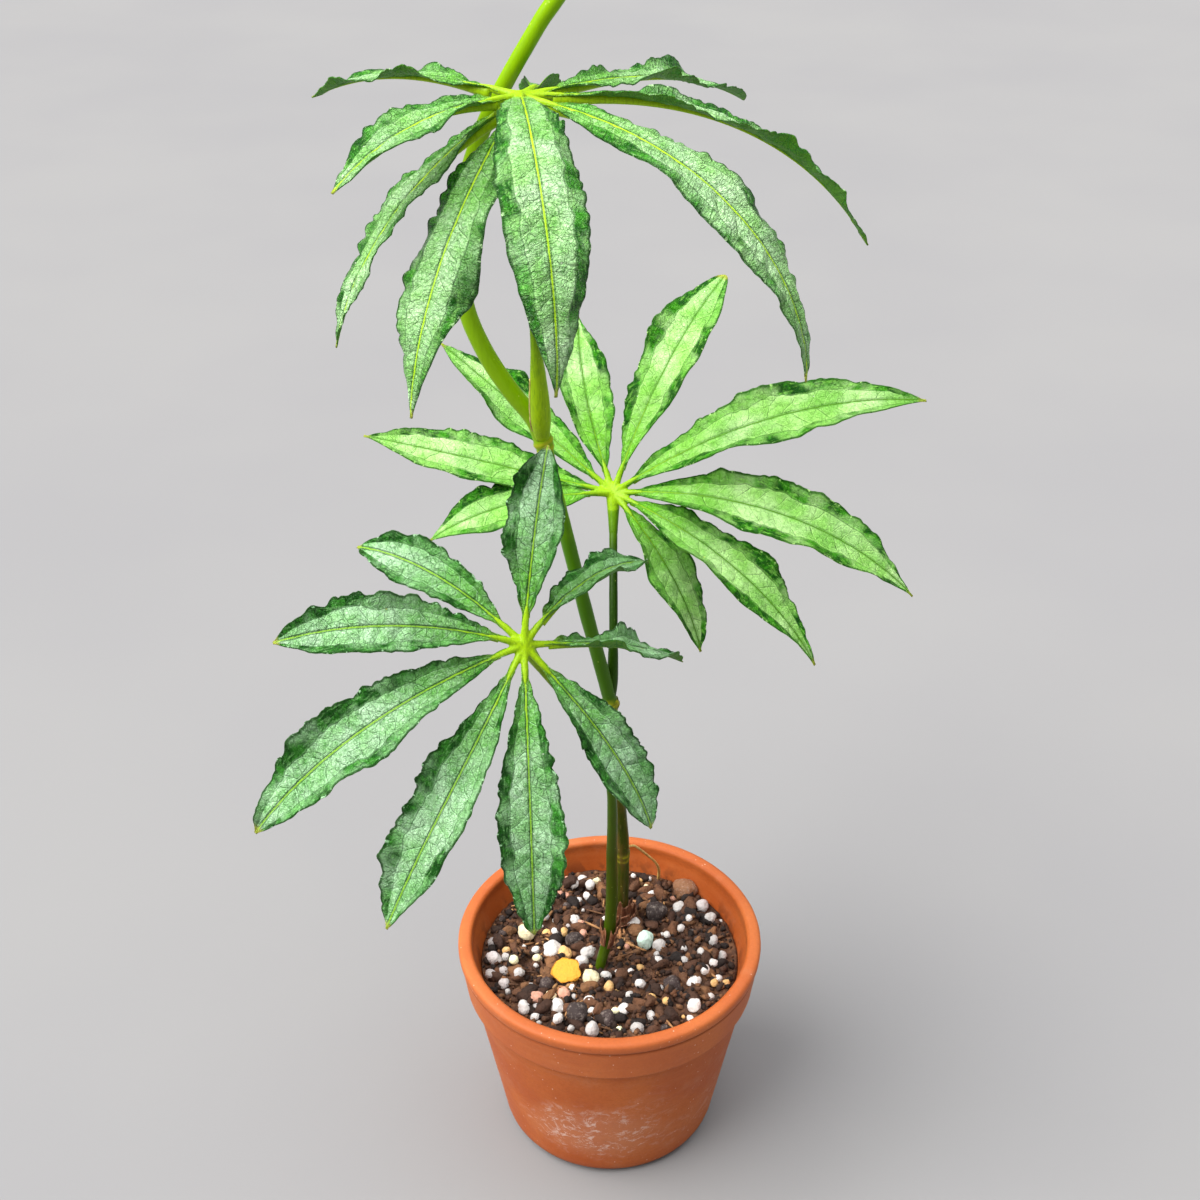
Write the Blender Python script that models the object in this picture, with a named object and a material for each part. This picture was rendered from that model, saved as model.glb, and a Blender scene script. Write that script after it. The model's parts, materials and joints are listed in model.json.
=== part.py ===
"""A potted climbing anthurium: terracotta pot, potting mix, climbing stem and three fingered leaves.

Sizes below are in millimetres and angles in degrees, and the meshes are made in metres.
X is to the right, Y to the back and Z up. The origin is the middle of the pot's foot.
"""

import math
import random
from collections import namedtuple

import bmesh
import bpy
from mathutils import Matrix, Vector, noise

MM = 0.001
GAP = 0.3
SEAT_GAP = 0.36
SEED = 7

# Pot
POT_SIDES = 44
LIP_OUTER_RADIUS = 60.0
LIP_TOP = 91.3
LIP_ROUND = 2.2
LIP_INNER_ROUND = 1.8
LIP_INNER_RADIUS = 54.5
BAND_BOTTOM_RADIUS = 57.4
BAND_BOTTOM = 71.5
NECK_RADIUS = 55.6
NECK_TOP = 70.3
FOOT_RADIUS = 42.8
FOOT_ROUND = 6.0
FLOOR_TOP = 7.0
FLOOR_RADIUS = 33.0
WALL_FOOT_RADIUS = 37.0
WALL_FOOT_HEIGHT = 11.0
DRAIN_RADIUS = 6.5
SHARP_ANGLE = 35.0

# Potting mix
SOIL_TOP = 79.0
SOIL_SIDE_GAP = 0.42
SOIL_RADIUS_AT_TOP = 51.8
SHOULDER_RADIUS = 48.5
SHOULDER_HEIGHT = 70.0
SOIL_RING_RADII = [46.0, 38.5, 30.5, 22.0, 13.5, 6.0]
LUMP_HEIGHT = 2.2
LUMP_SPACING = 11.0
GRAIN_COUNT = 44
GRAIN_SIZES = (2.0, 3.6)
GRAIN_SINK = 0.35
GRAIN_SPACING = 0.8
GRAIN_FIELD_RADIUS = 44.8
STEM_FIELD = 2.0
HOLE_CUTTER_LENGTH = 60.0

# Climbing stem: route through the middle of the stem, with its radius at each point
STEM_SIDES = 10
STEM_ROUTE = [
    (4.4, 20.0, 40.3, 3.2),
    (4.6, 20.0, 66.0, 3.1),
    (5.0, 19.6, 90.0, 2.8),
    (5.2, 17.0, 119.0, 2.6),
    (3.2, 10.5, 155.0, 2.5),
    (0.2, 0.5, 198.0, 2.5),
    (0.0, 0.0, 203.5, 3.1),
    (-0.9, 0.0, 208.0, 2.5),
    (-9.7, 0.0, 247.0, 2.5),
    (-20.3, 0.0, 298.0, 2.5),
    (-22.4, 0.0, 308.5, 3.2),
    (-25.4, 0.0, 317.0, 3.0),
    (-32.5, 0.5, 326.5, 2.9),
    (-40.0, 1.0, 339.0, 2.9),
    (-45.7, 1.0, 354.5, 2.8),
    (-47.0, 1.0, 371.0, 2.7),
    (-45.4, 0.5, 389.5, 2.6),
    (-40.9, 0.0, 405.0, 2.5),
    (-33.8, 0.0, 420.5, 2.5),
    (-21.8, 0.0, 440.5, 2.4),
    (-16.5, 0.0, 448.0, 2.4),
    (-8.5, 0.0, 459.0, 2.2),
    (-3.0, 0.0, 467.0, 1.6),
    (0.5, 0.0, 472.5, 0.7),
]
STEM_RINGS = 46

# Leaves. A leaflet's heading turns by its swing and its rise falls to its droop on the way to the
# tip. Roll lowers its right edge, and curl lifts the bands beyond the creases or, below zero, turns
# them down. Lengths and width are in millimetres. A smaller power makes a blunter base and a smaller
# tip a blunter tip, and a larger skew moves the widest place towards the tip.
Leaflet = namedtuple(
    "Leaflet", "heading swing rise droop length width roll curl stalk power skew tip",
    defaults=(8.0, 0.77, 1.12, 1.15),
)

FRONT_HUB = (-28.4, -42.0, 256.6)
FRONT_SKEW = 1.28
FRONT_TIP = 0.85
FRONT_LEAFLETS = [
    Leaflet(74, 0, 72, 52, 65, 19, 0, 36),
    Leaflet(36, 4, 44, -28, 57, 15, -5, 36),
    Leaflet(20, 16, -10, -40, 66, 15, -5, 36),
    Leaflet(-25, 22, -42, -76, 81, 19, 40, 36),
    Leaflet(-86, 0, -42, -88, 98, 21, 0, 38),
    Leaflet(-117, -26, -34, -62, 102, 22, -15, 38),
    Leaflet(-144, -16, -1, -52, 107, 23, -35, 38),
    Leaflet(-161, -12, 28, -16, 82, 20, -40, 38),
    Leaflet(158, -12, 40, -14, 69, 17, -35, 38),
]
FRONT_LEAFLETS = [leaflet._replace(skew=FRONT_SKEW, tip=FRONT_TIP) for leaflet in FRONT_LEAFLETS]
FRONT_PETIOLE = [
    (-3.8, -6.0, 60.3, 2.0),
    (-3.8, -6.0, 78.0, 2.0),
    (-0.6, -5.2, 94.0, 2.3),
    (0.7, -5.0, 112.0, 2.3),
    (0.7, -5.4, 136.0, 2.1),
    (0.6, -7.0, 165.0, 1.8),
    (-1.6, -12.0, 187.0, 1.7),
    (-7.3, -20.0, 207.0, 1.6),
    (-15.6, -30.0, 227.5, 1.5),
    (-23.2, -38.0, 245.0, 1.6),
    (-28.2, -41.8, 256.4, 1.9),
]

MIDDLE_HUB = (1.0, 40.0, 267.6)
MIDDLE_LEAFLETS = [
    Leaflet(117, -26, 44, 34, 73, 19, 0, 24),
    Leaflet(150, 0, 32, 28, 84, 20, -15, 24),
    Leaflet(178, -6, 15, 8, 92, 21, -25, 24),
    Leaflet(-158, -20, 12, -38, 71, 19, -25, 24),
    Leaflet(50, -2, 60, 28, 91, 22, 5, 24, skew=1.3, tip=0.6),
    Leaflet(-14, 25, 41, -10, 120, 23, 30, 27),
    Leaflet(-30, 22, 18, -48, 120, 24, 28, 27),
    Leaflet(-46, 22, 2, -60, 101, 20, 15, 27),
    Leaflet(-58, 14, -14, -74, 69, 19, 0, 27),
]
MIDDLE_PETIOLE = [
    (0.3, 0.0, 206.0, 1.6),
    (0.7, 2.2, 213.0, 2.0),
    (1.0, 8.5, 227.0, 1.6),
    (1.0, 19.5, 242.0, 1.5),
    (1.0, 31.5, 256.5, 1.5),
    (1.0, 40.0, 267.2, 1.9),
]

TOP_HUB = (-26.0, -20.0, 426.0)
TOP_LEAFLETS = [
    Leaflet(162, -4, 13, -29, 68, 15, 8, 15),
    Leaflet(-137, -2, 9, -38, 68, 16, -5, 24),
    Leaflet(-139, -14, -18, -76, 91, 17, 20, 15),
    Leaflet(-112, -16, -22, -84, 101, 22, 5, -22),
    Leaflet(-86, 12, 16, -106, 117, 22, 0, -25, 3.0, 0.5),
    Leaflet(-34, 24, 0, -88, 126, 20, 15, -18),
    Leaflet(15, -8, 1, -60, 124, 16, -5, 30, skew=1.2, tip=0.8),
    Leaflet(34, 16, 4, -30, 94, 16, 5, 27, skew=1.3, tip=0.6),
    Leaflet(64, 50, 8, -88, 45, 12, 0, 50),
]
TOP_PETIOLE = [
    (-22.8, -0.6, 310.5, 2.6),
    (-23.0, -3.2, 320.0, 3.4),
    (-23.4, -5.2, 334.0, 2.6),
    (-23.8, -7.6, 345.0, 1.7),
    (-24.4, -11.0, 365.0, 1.4),
    (-25.0, -16.0, 395.0, 1.4),
    (-26.0, -20.0, 425.6, 1.8),
]

# Shape that all leaflets and petioles share
HUB_RADIUS = 3.6
STALK_START = 1.5
PETIOLE_SIDES = 8
PETIOLE_RINGS = 16
BEND_POWER = 1.3
STALK_HALF_WIDTH = 1.1
STALK_THICKNESS = 2.0
STALK_BLEND = 0.2
BLADE_THICKNESS = 0.9
TIP_HALF_WIDTH = 0.5
INNER_SLOPE = 5.0
CREASE_AT = 0.6
RUFFLE_SPACING = 8.5
RUFFLE_HEIGHT = 1.2
RUFFLE_OUT = 0.35
RUFFLE_EVENNESS = 0.75
RUFFLE_CHANGE = 2.1
SWELL_HEIGHT = 1.5
SWELL_WAVES = 2.5
SWELL_SHIFT_BY_LEAFLET = 2.4
SWELL_SHIFT_ON_RIGHT = 1.9
WAVE_EASE = 0.6
ROUTE_STEPS = 24


def clear_scene():
    for scene_object in list(bpy.data.objects):
        bpy.data.objects.remove(scene_object, do_unlink=True)


def make_material(name, colour, roughness, metallic=0.0):
    material = bpy.data.materials.new(name)
    material.use_nodes = True
    shader = material.node_tree.nodes["Principled BSDF"]
    shader.inputs["Base Color"].default_value = (*colour, 1.0)
    shader.inputs["Roughness"].default_value = roughness
    shader.inputs["Metallic"].default_value = metallic
    return material


def terracotta():
    return make_material("terracotta", (0.56, 0.14, 0.055), 0.75)


def potting_mix():
    return make_material("potting_mix", (0.045, 0.022, 0.014), 0.9)


def green_stem():
    return make_material("green_stem", (0.18, 0.27, 0.03), 0.42)


def deep_leaf():
    return make_material("deep_leaf", (0.06, 0.19, 0.07), 0.4)


def light_leaf():
    return make_material("light_leaf", (0.11, 0.31, 0.06), 0.42)


def add_object(name, mesh, material=None):
    part = bpy.data.objects.new(name, mesh)
    bpy.context.scene.collection.objects.link(part)
    if material:
        mesh.materials.clear()
        mesh.materials.append(material)
    return part


def mesh_from(name, bm):
    """Turns a bmesh in millimetres into a mesh in metres with its faces pointing out."""
    bmesh.ops.recalc_face_normals(bm, faces=bm.faces)
    bmesh.ops.scale(bm, vec=(MM, MM, MM), verts=bm.verts)
    mesh = bpy.data.meshes.new(name)
    bm.to_mesh(mesh)
    bm.free()
    return mesh


def combine(name, base, others, operation, material, solver="EXACT"):
    """Joins or cuts base with others in one Boolean, applies it and removes the others."""
    tools = bpy.data.collections.new(name + "_tools")
    bpy.context.scene.collection.children.link(tools)
    for other in others:
        bpy.context.scene.collection.objects.unlink(other)
        tools.objects.link(other)
    boolean = base.modifiers.new(operation.lower(), "BOOLEAN")
    boolean.operation = operation
    boolean.operand_type = "COLLECTION"
    boolean.collection = tools
    boolean.solver = solver
    evaluated = base.evaluated_get(bpy.context.evaluated_depsgraph_get())
    result = bpy.data.meshes.new_from_object(evaluated)
    for used in others + [base]:
        bpy.data.objects.remove(used, do_unlink=True)
    bpy.data.collections.remove(tools)
    return add_object(name, result, material)


def arc(centre, radius, first_angle, last_angle, count):
    """Points (r, z) on an arc, both ends included."""
    points = []
    for index in range(count):
        angle = math.radians(first_angle + (last_angle - first_angle) * index / (count - 1))
        points.append((centre[0] + radius * math.cos(angle), centre[1] + radius * math.sin(angle)))
    return points


def turned_mesh(name, outline):
    """Turns a closed outline of (r, z) points, listed down its outer side, round the Z axis."""
    bm = bmesh.new()
    rings = []
    for step in range(POT_SIDES):
        angle = math.tau * step / POT_SIDES
        rings.append([bm.verts.new((r * math.cos(angle), r * math.sin(angle), z)) for r, z in outline])
    for step, ring in enumerate(rings):
        following = rings[(step + 1) % POT_SIDES]
        for index in range(len(outline)):
            after = (index + 1) % len(outline)
            bm.faces.new((ring[index], ring[after], following[after], following[index]))
    return mesh_from(name, bm)


def make_pot():
    lip_centre = (LIP_OUTER_RADIUS - LIP_ROUND, LIP_TOP - LIP_ROUND)
    inner_centre = (LIP_INNER_RADIUS + LIP_INNER_ROUND, LIP_TOP - LIP_INNER_ROUND)
    foot_centre = (FOOT_RADIUS - FOOT_ROUND, FOOT_ROUND)
    outline = arc(inner_centre, LIP_INNER_ROUND, 180, 90, 3)
    outline += arc(lip_centre, LIP_ROUND, 90, 0, 3)
    outline.append((BAND_BOTTOM_RADIUS, BAND_BOTTOM))
    outline.append((NECK_RADIUS, NECK_TOP))
    outline += arc(foot_centre, FOOT_ROUND, 0, -90, 3)
    outline.append((DRAIN_RADIUS, 0.0))
    outline.append((DRAIN_RADIUS, FLOOR_TOP))
    outline.append((FLOOR_RADIUS, FLOOR_TOP))
    outline.append((WALL_FOOT_RADIUS, WALL_FOOT_HEIGHT))
    outline.append((SHOULDER_RADIUS, SHOULDER_HEIGHT))
    outline.append((SOIL_RADIUS_AT_TOP, SOIL_TOP))
    pot = add_object("pot", turned_mesh("pot", outline), terracotta())
    pot.data.shade_smooth()
    pot.data.set_sharp_from_angle(angle=math.radians(SHARP_ANGLE))
    return pot


def soil_height(x, y):
    """Height of the lumpy top of the potting mix."""
    place = Vector((x, y, 0.0)) / LUMP_SPACING
    return SOIL_TOP + LUMP_HEIGHT * noise.noise(place)


def soil_body():
    """Potting mix that fills the pot with a gap to its wall and has a lumpy top."""
    wall = [
        (FLOOR_RADIUS - SOIL_SIDE_GAP, FLOOR_TOP + GAP),
        (WALL_FOOT_RADIUS - SOIL_SIDE_GAP, WALL_FOOT_HEIGHT + GAP),
        (SHOULDER_RADIUS - SOIL_SIDE_GAP, SHOULDER_HEIGHT),
        (SOIL_RADIUS_AT_TOP - SOIL_SIDE_GAP, SOIL_TOP),
    ]
    bm = bmesh.new()
    rings = []
    for radius, height in wall:
        rings.append([(radius, height)] * POT_SIDES)
    for radius in SOIL_RING_RADII:
        rings.append([(radius, None)] * POT_SIDES)
    rows = []
    for ring in rings:
        row = []
        for step, (radius, height) in enumerate(ring):
            angle = math.tau * step / POT_SIDES
            x = radius * math.cos(angle)
            y = radius * math.sin(angle)
            z = soil_height(x, y) if height is None else height
            row.append(bm.verts.new((x, y, z)))
        rows.append(row)
    for lower, upper in zip(rows, rows[1:]):
        for step in range(POT_SIDES):
            after = (step + 1) % POT_SIDES
            bm.faces.new((lower[step], lower[after], upper[after], upper[step]))
    bm.faces.new(list(reversed(rows[0])))
    middle = bm.verts.new((0.0, 0.0, soil_height(0.0, 0.0)))
    for step in range(POT_SIDES):
        bm.faces.new((rows[-1][step], rows[-1][(step + 1) % POT_SIDES], middle))
    bmesh.ops.triangulate(bm, faces=bm.faces)
    return add_object("soil_body", mesh_from("soil_body", bm))


def grain(draw, number, taken):
    """One many-sided grain, half sunk in the potting mix and clear of the stems and other grains."""
    while True:
        radius = draw.uniform(*GRAIN_SIZES)
        away = GRAIN_FIELD_RADIUS * math.sqrt(draw.random())
        angle = draw.uniform(0.0, math.tau)
        x = away * math.cos(angle)
        y = away * math.sin(angle)
        if all(math.hypot(x - tx, y - ty) > radius + tr + GRAIN_SPACING for tx, ty, tr in taken):
            break
    taken.append((x, y, radius))
    bm = bmesh.new()
    bmesh.ops.create_icosphere(bm, subdivisions=1, radius=radius)
    turn = Matrix.Rotation(draw.uniform(0.0, math.tau), 4, "Z") @ Matrix.Rotation(draw.random(), 4, "X")
    flatten = Matrix.Diagonal((1.0, draw.uniform(0.7, 1.0), draw.uniform(0.65, 0.9), 1.0))
    centre = Vector((x, y, soil_height(x, y) + radius * GRAIN_SINK))
    bm.transform(Matrix.Translation(centre) @ turn @ flatten)
    return add_object(f"grain_{number}", mesh_from("grain", bm))


def plain_hole(name, place, radius):
    """Upright cutter for the hole that a stem stands in."""
    bm = bmesh.new()
    bmesh.ops.create_cone(
        bm, cap_ends=True, segments=STEM_SIDES, radius1=radius, radius2=radius, depth=HOLE_CUTTER_LENGTH
    )
    bm.transform(Matrix.Translation((place[0], place[1], place[2] - GAP + HOLE_CUTTER_LENGTH / 2)))
    return add_object(name, mesh_from(name, bm))


def make_soil():
    draw = random.Random(SEED)
    stem_foot = STEM_ROUTE[0]
    petiole_foot = FRONT_PETIOLE[0]
    taken = [(x, y, radius + STEM_FIELD) for x, y, _, radius in (stem_foot, petiole_foot)]
    grains = [grain(draw, number, taken) for number in range(GRAIN_COUNT)]
    soil = combine("soil_solid", soil_body(), grains, "UNION", None)
    holes = [
        plain_hole("stem_hole", stem_foot, stem_foot[3] + 2 * GAP),
        plain_hole("petiole_hole", petiole_foot, petiole_foot[3] + 2 * GAP),
    ]
    return combine("soil", soil, holes, "DIFFERENCE", potting_mix())


def smooth_route(points, count):
    """Evenly spaced places on a smooth curve through the route's points, four numbers each."""
    places = [Vector(point) for point in points]
    padded = [places[0] * 2 - places[1]] + places + [places[-1] * 2 - places[-2]]
    lengths = [0.0]
    for here, after in zip(places, places[1:]):
        lengths.append(lengths[-1] + (after.xyz - here.xyz).length)
    route = []
    for index in range(count):
        target = lengths[-1] * index / (count - 1)
        span = max(number for number in range(len(places) - 1) if lengths[number] <= target)
        t = (target - lengths[span]) / (lengths[span + 1] - lengths[span])
        before, first, second, last = padded[span:span + 4]
        bend = (second - before) * t + (before * 2 - first * 5 + second * 4 - last) * t * t
        bend += (first * 3 - before - second * 3 + last) * t * t * t
        route.append(first + bend * 0.5)
    return route


def tube_mesh(name, route, sides, extra=0.0):
    """Closed tube along a route of (x, y, z, radius), with flat ends."""
    bm = bmesh.new()
    rings = []
    side = Vector((1.0, 0.0, 0.0))
    for index, place in enumerate(route):
        before = route[max(index - 1, 0)].xyz
        after = route[min(index + 1, len(route) - 1)].xyz
        forward = (after - before).normalized()
        side = (side - forward * side.dot(forward)).normalized()
        back = forward.cross(side)
        ring = []
        for step in range(sides):
            angle = math.tau * (step + 0.5) / sides
            spoke = side * math.cos(angle) + back * math.sin(angle)
            ring.append(bm.verts.new(place.xyz + spoke * (place.w + extra)))
        rings.append(ring)
    for lower, upper in zip(rings, rings[1:]):
        for step in range(sides):
            after = (step + 1) % sides
            bm.faces.new((lower[step], lower[after], upper[after], upper[step]))
    bm.faces.new(list(reversed(rings[0])))
    bm.faces.new(rings[-1])
    bmesh.ops.triangulate(bm, faces=bm.faces)
    return mesh_from(name, bm)


def stem_route():
    return smooth_route(STEM_ROUTE, STEM_RINGS)


def make_stem():
    stem = add_object("stem", tube_mesh("stem", stem_route(), STEM_SIDES), green_stem())
    stem.data.shade_smooth()
    return stem


def leaflet_direction(leaflet, along):
    heading = math.radians(leaflet.heading + leaflet.swing * along)
    fall = (leaflet.droop - leaflet.rise) * along ** BEND_POWER
    rise = math.radians(leaflet.rise + fall)
    level = math.cos(rise)
    return Vector((level * math.cos(heading), level * math.sin(heading), math.sin(rise)))


def leaflet_frame(leaflet, hub, along):
    """Place on the midrib with the directions to the right edge and out of the upper face."""
    place = Vector(hub)
    for step in range(ROUTE_STEPS):
        middle = along * (step + 0.5) / ROUTE_STEPS
        place += leaflet_direction(leaflet, middle) * (leaflet.length * along / ROUTE_STEPS)
    forward = leaflet_direction(leaflet, along)
    heading = math.radians(leaflet.heading + leaflet.swing * along)
    level_right = Vector((math.sin(heading), -math.cos(heading), 0.0))
    right = Matrix.Rotation(math.radians(leaflet.roll), 3, forward) @ level_right
    return place, right, right.cross(forward)


def blade_fraction(leaflet, along):
    """Share of the blade passed, from 0 at the end of its stalk to 1 at its tip."""
    stalk = leaflet.stalk / leaflet.length
    return min(1.0, max(0.0, (along - stalk) / (1.0 - stalk)))


def half_width(leaflet, along):
    passed = blade_fraction(leaflet, along)
    power = leaflet.power + (leaflet.tip - leaflet.power) * passed
    blade = leaflet.width / 2 * math.sin(math.pi * passed ** leaflet.skew) ** power
    least = STALK_HALF_WIDTH + (TIP_HALF_WIDTH - STALK_HALF_WIDTH) * passed
    return max(least, blade)


def half_thickness(leaflet, along):
    passed = min(1.0, blade_fraction(leaflet, along) / STALK_BLEND)
    return (STALK_THICKNESS + (BLADE_THICKNESS - STALK_THICKNESS) * passed) / 2


def edge_share(leaflet, along):
    """How strongly the edge waves: none on the stalk and at the tip."""
    return math.sin(math.pi * blade_fraction(leaflet, along)) ** WAVE_EASE


def blade_point(leaflet, number, hub, along, across, ruffle):
    """Point midway between both faces. Across runs from -1 at the left edge to 1 at the right one."""
    place, right, up = leaflet_frame(leaflet, hub, along)
    share = edge_share(leaflet, along)
    outward = abs(across) * half_width(leaflet, along)
    past_crease = max(0.0, abs(across) - CREASE_AT) * half_width(leaflet, along)
    lift = (outward - past_crease) * math.tan(math.radians(INNER_SLOPE))
    lift += past_crease * math.tan(math.radians(leaflet.curl))
    phase = SWELL_SHIFT_BY_LEAFLET * number + (SWELL_SHIFT_ON_RIGHT if across > 0 else 0.0)
    swell = math.sin(math.tau * SWELL_WAVES * along + phase)
    lift += SWELL_HEIGHT * swell * share * abs(across) ** 2
    lift += RUFFLE_HEIGHT * ruffle * share
    outward += RUFFLE_OUT * ruffle * share
    return place + right * math.copysign(outward, across) + up * lift, up


def leaflet_mesh(name, leaflet, number, hub):
    """Closed blade with a rib, a crease on each side and an edge of alternate high and low points."""
    pieces = max(6, round(leaflet.length / RUFFLE_SPACING))
    start = STALK_START / leaflet.length
    bm = bmesh.new()

    def column(across, count, ruffled):
        upper = []
        lower = []
        for index in range(count + 1):
            along = start + (1.0 - start) * index / count
            ruffle = 0.0
            if ruffled:
                change = math.sin(RUFFLE_CHANGE * index + number)
                strength = RUFFLE_EVENNESS + (1.0 - RUFFLE_EVENNESS) * change
                ruffle = strength if index % 2 else -strength
            point, up = blade_point(leaflet, number, hub, along, across, ruffle)
            thick = half_thickness(leaflet, along)
            upper.append(bm.verts.new(point + up * thick))
            lower.append(bm.verts.new(point - up * thick))
        return upper, lower

    rib = column(0.0, pieces, False)
    creases = {side: column(side * CREASE_AT, pieces, False) for side in (-1, 1)}
    edges = {side: column(side, 2 * pieces, True) for side in (-1, 1)}
    for face in (0, 1):
        for side in (-1, 1):
            for index in range(pieces):
                first = 2 * index
                r0, r1 = rib[face][index:index + 2]
                c0, c1 = creases[side][face][index:index + 2]
                e0, e1, e2 = edges[side][face][first:first + 3]
                for corners in ((r0, r1, c1), (r0, c1, c0), (c0, c1, e1), (c0, e1, e0), (c1, e2, e1)):
                    bm.faces.new(corners)
    for side in (-1, 1):
        upper, lower = edges[side]
        for index in range(2 * pieces):
            bm.faces.new((upper[index], upper[index + 1], lower[index + 1]))
            bm.faces.new((upper[index], lower[index + 1], lower[index]))
    for end in (0, -1):
        across = [edges[-1], creases[-1], rib, creases[1], edges[1]]
        for first, second in zip(across, across[1:]):
            bm.faces.new((first[0][end], second[0][end], second[1][end]))
            bm.faces.new((first[0][end], second[1][end], first[1][end]))
    return mesh_from(name, bm)


def make_hub(name, hub):
    bm = bmesh.new()
    bmesh.ops.create_icosphere(bm, subdivisions=2, radius=HUB_RADIUS)
    bm.transform(Matrix.Translation(hub))
    return add_object(name + "_hub", mesh_from(name + "_hub", bm))


def make_leaf(name, hub, leaflets, petiole, material):
    """One leaf: petiole, hub and leaflets grown together."""
    base = add_object(name + "_petiole", tube_mesh(name, smooth_route(petiole, PETIOLE_RINGS), PETIOLE_SIDES))
    grown = [make_hub(name, hub)]
    for number, leaflet in enumerate(leaflets):
        grown.append(add_object(f"{name}_{number}", leaflet_mesh(name, leaflet, number, hub)))
    return combine(name, base, grown, "UNION", material, "MANIFOLD")


def seat_on_stem(leaf, name, material):
    """Cuts a leaf's foot so that it clasps the stem with the gap that touching pieces keep."""
    cutter = add_object(name + "_seat", tube_mesh("seat", stem_route(), STEM_SIDES, SEAT_GAP))
    leaf.name = name + "_uncut"
    return combine(name, leaf, [cutter], "DIFFERENCE", material, "MANIFOLD")


def main():
    clear_scene()
    make_pot()
    make_soil()
    make_stem()
    make_leaf("leaf_front", FRONT_HUB, FRONT_LEAFLETS, FRONT_PETIOLE, deep_leaf())
    light = light_leaf()
    middle = make_leaf("leaf_middle", MIDDLE_HUB, MIDDLE_LEAFLETS, MIDDLE_PETIOLE, light)
    seat_on_stem(middle, "leaf_middle", light)
    deep = deep_leaf()
    top = make_leaf("leaf_top", TOP_HUB, TOP_LEAFLETS, TOP_PETIOLE, deep)
    seat_on_stem(top, "leaf_top", deep)


main()
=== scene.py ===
"""Looks of a potted climbing anthurium: terracotta pot, potting mix, climbing stem and fingered leaves.

Shapes are worked out in millimetres in the part's own frame, X to the right, Y to the back and Z up,
and the meshes are made in metres.
"""

import json
import math
import random
from collections import namedtuple

import bmesh
import bpy
import numpy as np
from mathutils import Matrix, Vector, noise
from mathutils.bvhtree import BVHTree

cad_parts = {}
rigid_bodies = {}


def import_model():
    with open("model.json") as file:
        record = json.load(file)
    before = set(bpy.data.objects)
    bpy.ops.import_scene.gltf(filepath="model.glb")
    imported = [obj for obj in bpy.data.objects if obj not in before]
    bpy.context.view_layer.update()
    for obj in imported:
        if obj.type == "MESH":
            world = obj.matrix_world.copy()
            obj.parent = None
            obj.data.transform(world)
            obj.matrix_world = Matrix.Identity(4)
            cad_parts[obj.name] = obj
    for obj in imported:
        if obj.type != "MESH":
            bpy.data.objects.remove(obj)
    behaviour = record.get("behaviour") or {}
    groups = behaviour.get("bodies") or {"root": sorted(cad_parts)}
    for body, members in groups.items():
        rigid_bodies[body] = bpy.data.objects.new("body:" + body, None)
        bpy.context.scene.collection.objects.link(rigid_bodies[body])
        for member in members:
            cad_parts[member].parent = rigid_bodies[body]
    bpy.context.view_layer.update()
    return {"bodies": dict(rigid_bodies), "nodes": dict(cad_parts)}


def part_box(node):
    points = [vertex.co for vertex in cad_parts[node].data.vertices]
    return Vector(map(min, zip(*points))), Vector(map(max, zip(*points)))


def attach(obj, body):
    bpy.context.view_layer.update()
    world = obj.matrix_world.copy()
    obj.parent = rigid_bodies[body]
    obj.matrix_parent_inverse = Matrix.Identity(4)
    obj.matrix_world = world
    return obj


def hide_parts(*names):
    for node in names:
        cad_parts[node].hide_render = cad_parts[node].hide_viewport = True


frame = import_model()

MM = 0.001
IMAGE_SIZE = 1200
SEED = 7

# Camera, floor and light
CAMERA_PLACE = (-0.0038, -0.4896, 0.5558)
CAMERA_PITCH = 32.22
CAMERA_LENS = 50.0
CAMERA_SENSOR = 36.0
FLOOR_SIZE = 12.0
FLOOR_DROP = 0.00005
KEY_FROM = (-0.6, -0.2, 0.77)
KEY_STRENGTH = 5.2
KEY_SPREAD = 55.0
OVERHEAD_STRENGTH = 3.6
OVERHEAD_FOCUS = 4.0
SURROUND_STRENGTH = 0.22
SKY_COLOUR = (0.98, 0.99, 1.0, 1.0)
KEY_COLOUR = (1.0, 0.99, 0.97)

# Pot: corners of its turned outline (radius, height, rounding) are worked out from these
LIP_ROUND = 2.3
LIP_INNER_RADIUS = 54.5
LIP_DEPTH = 5.2
CREASE_DEPTH = 0.75
BAND_BOTTOM_RADIUS = 57.4
BAND_BOTTOM = 71.5
NECK_RADIUS = 55.6
NECK_TOP = 70.3
FOOT_RADIUS = 42.8
FOOT_ROUND = 6.0
FLOOR_TOP = 7.0
FLOOR_RADIUS = 33.0
WALL_FOOT_RADIUS = 37.0
WALL_FOOT_HEIGHT = 11.0
DRAIN_RADIUS = 6.5
SHOULDER_RADIUS = 48.5
SHOULDER_HEIGHT = 70.0
SOIL_TOP = 79.0
SOIL_RADIUS = 51.8
POT_SIDES = 240
POT_ROW_SPACING = 1.6
POT_SOIL_GAP = 0.6
CREVICE_UNDER_LIP = 85.6
SALT_MIDDLE = (-0.007, -0.047, 0.029)
SALT_SPREAD = (38.0, 14.0, 50.0)

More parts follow.
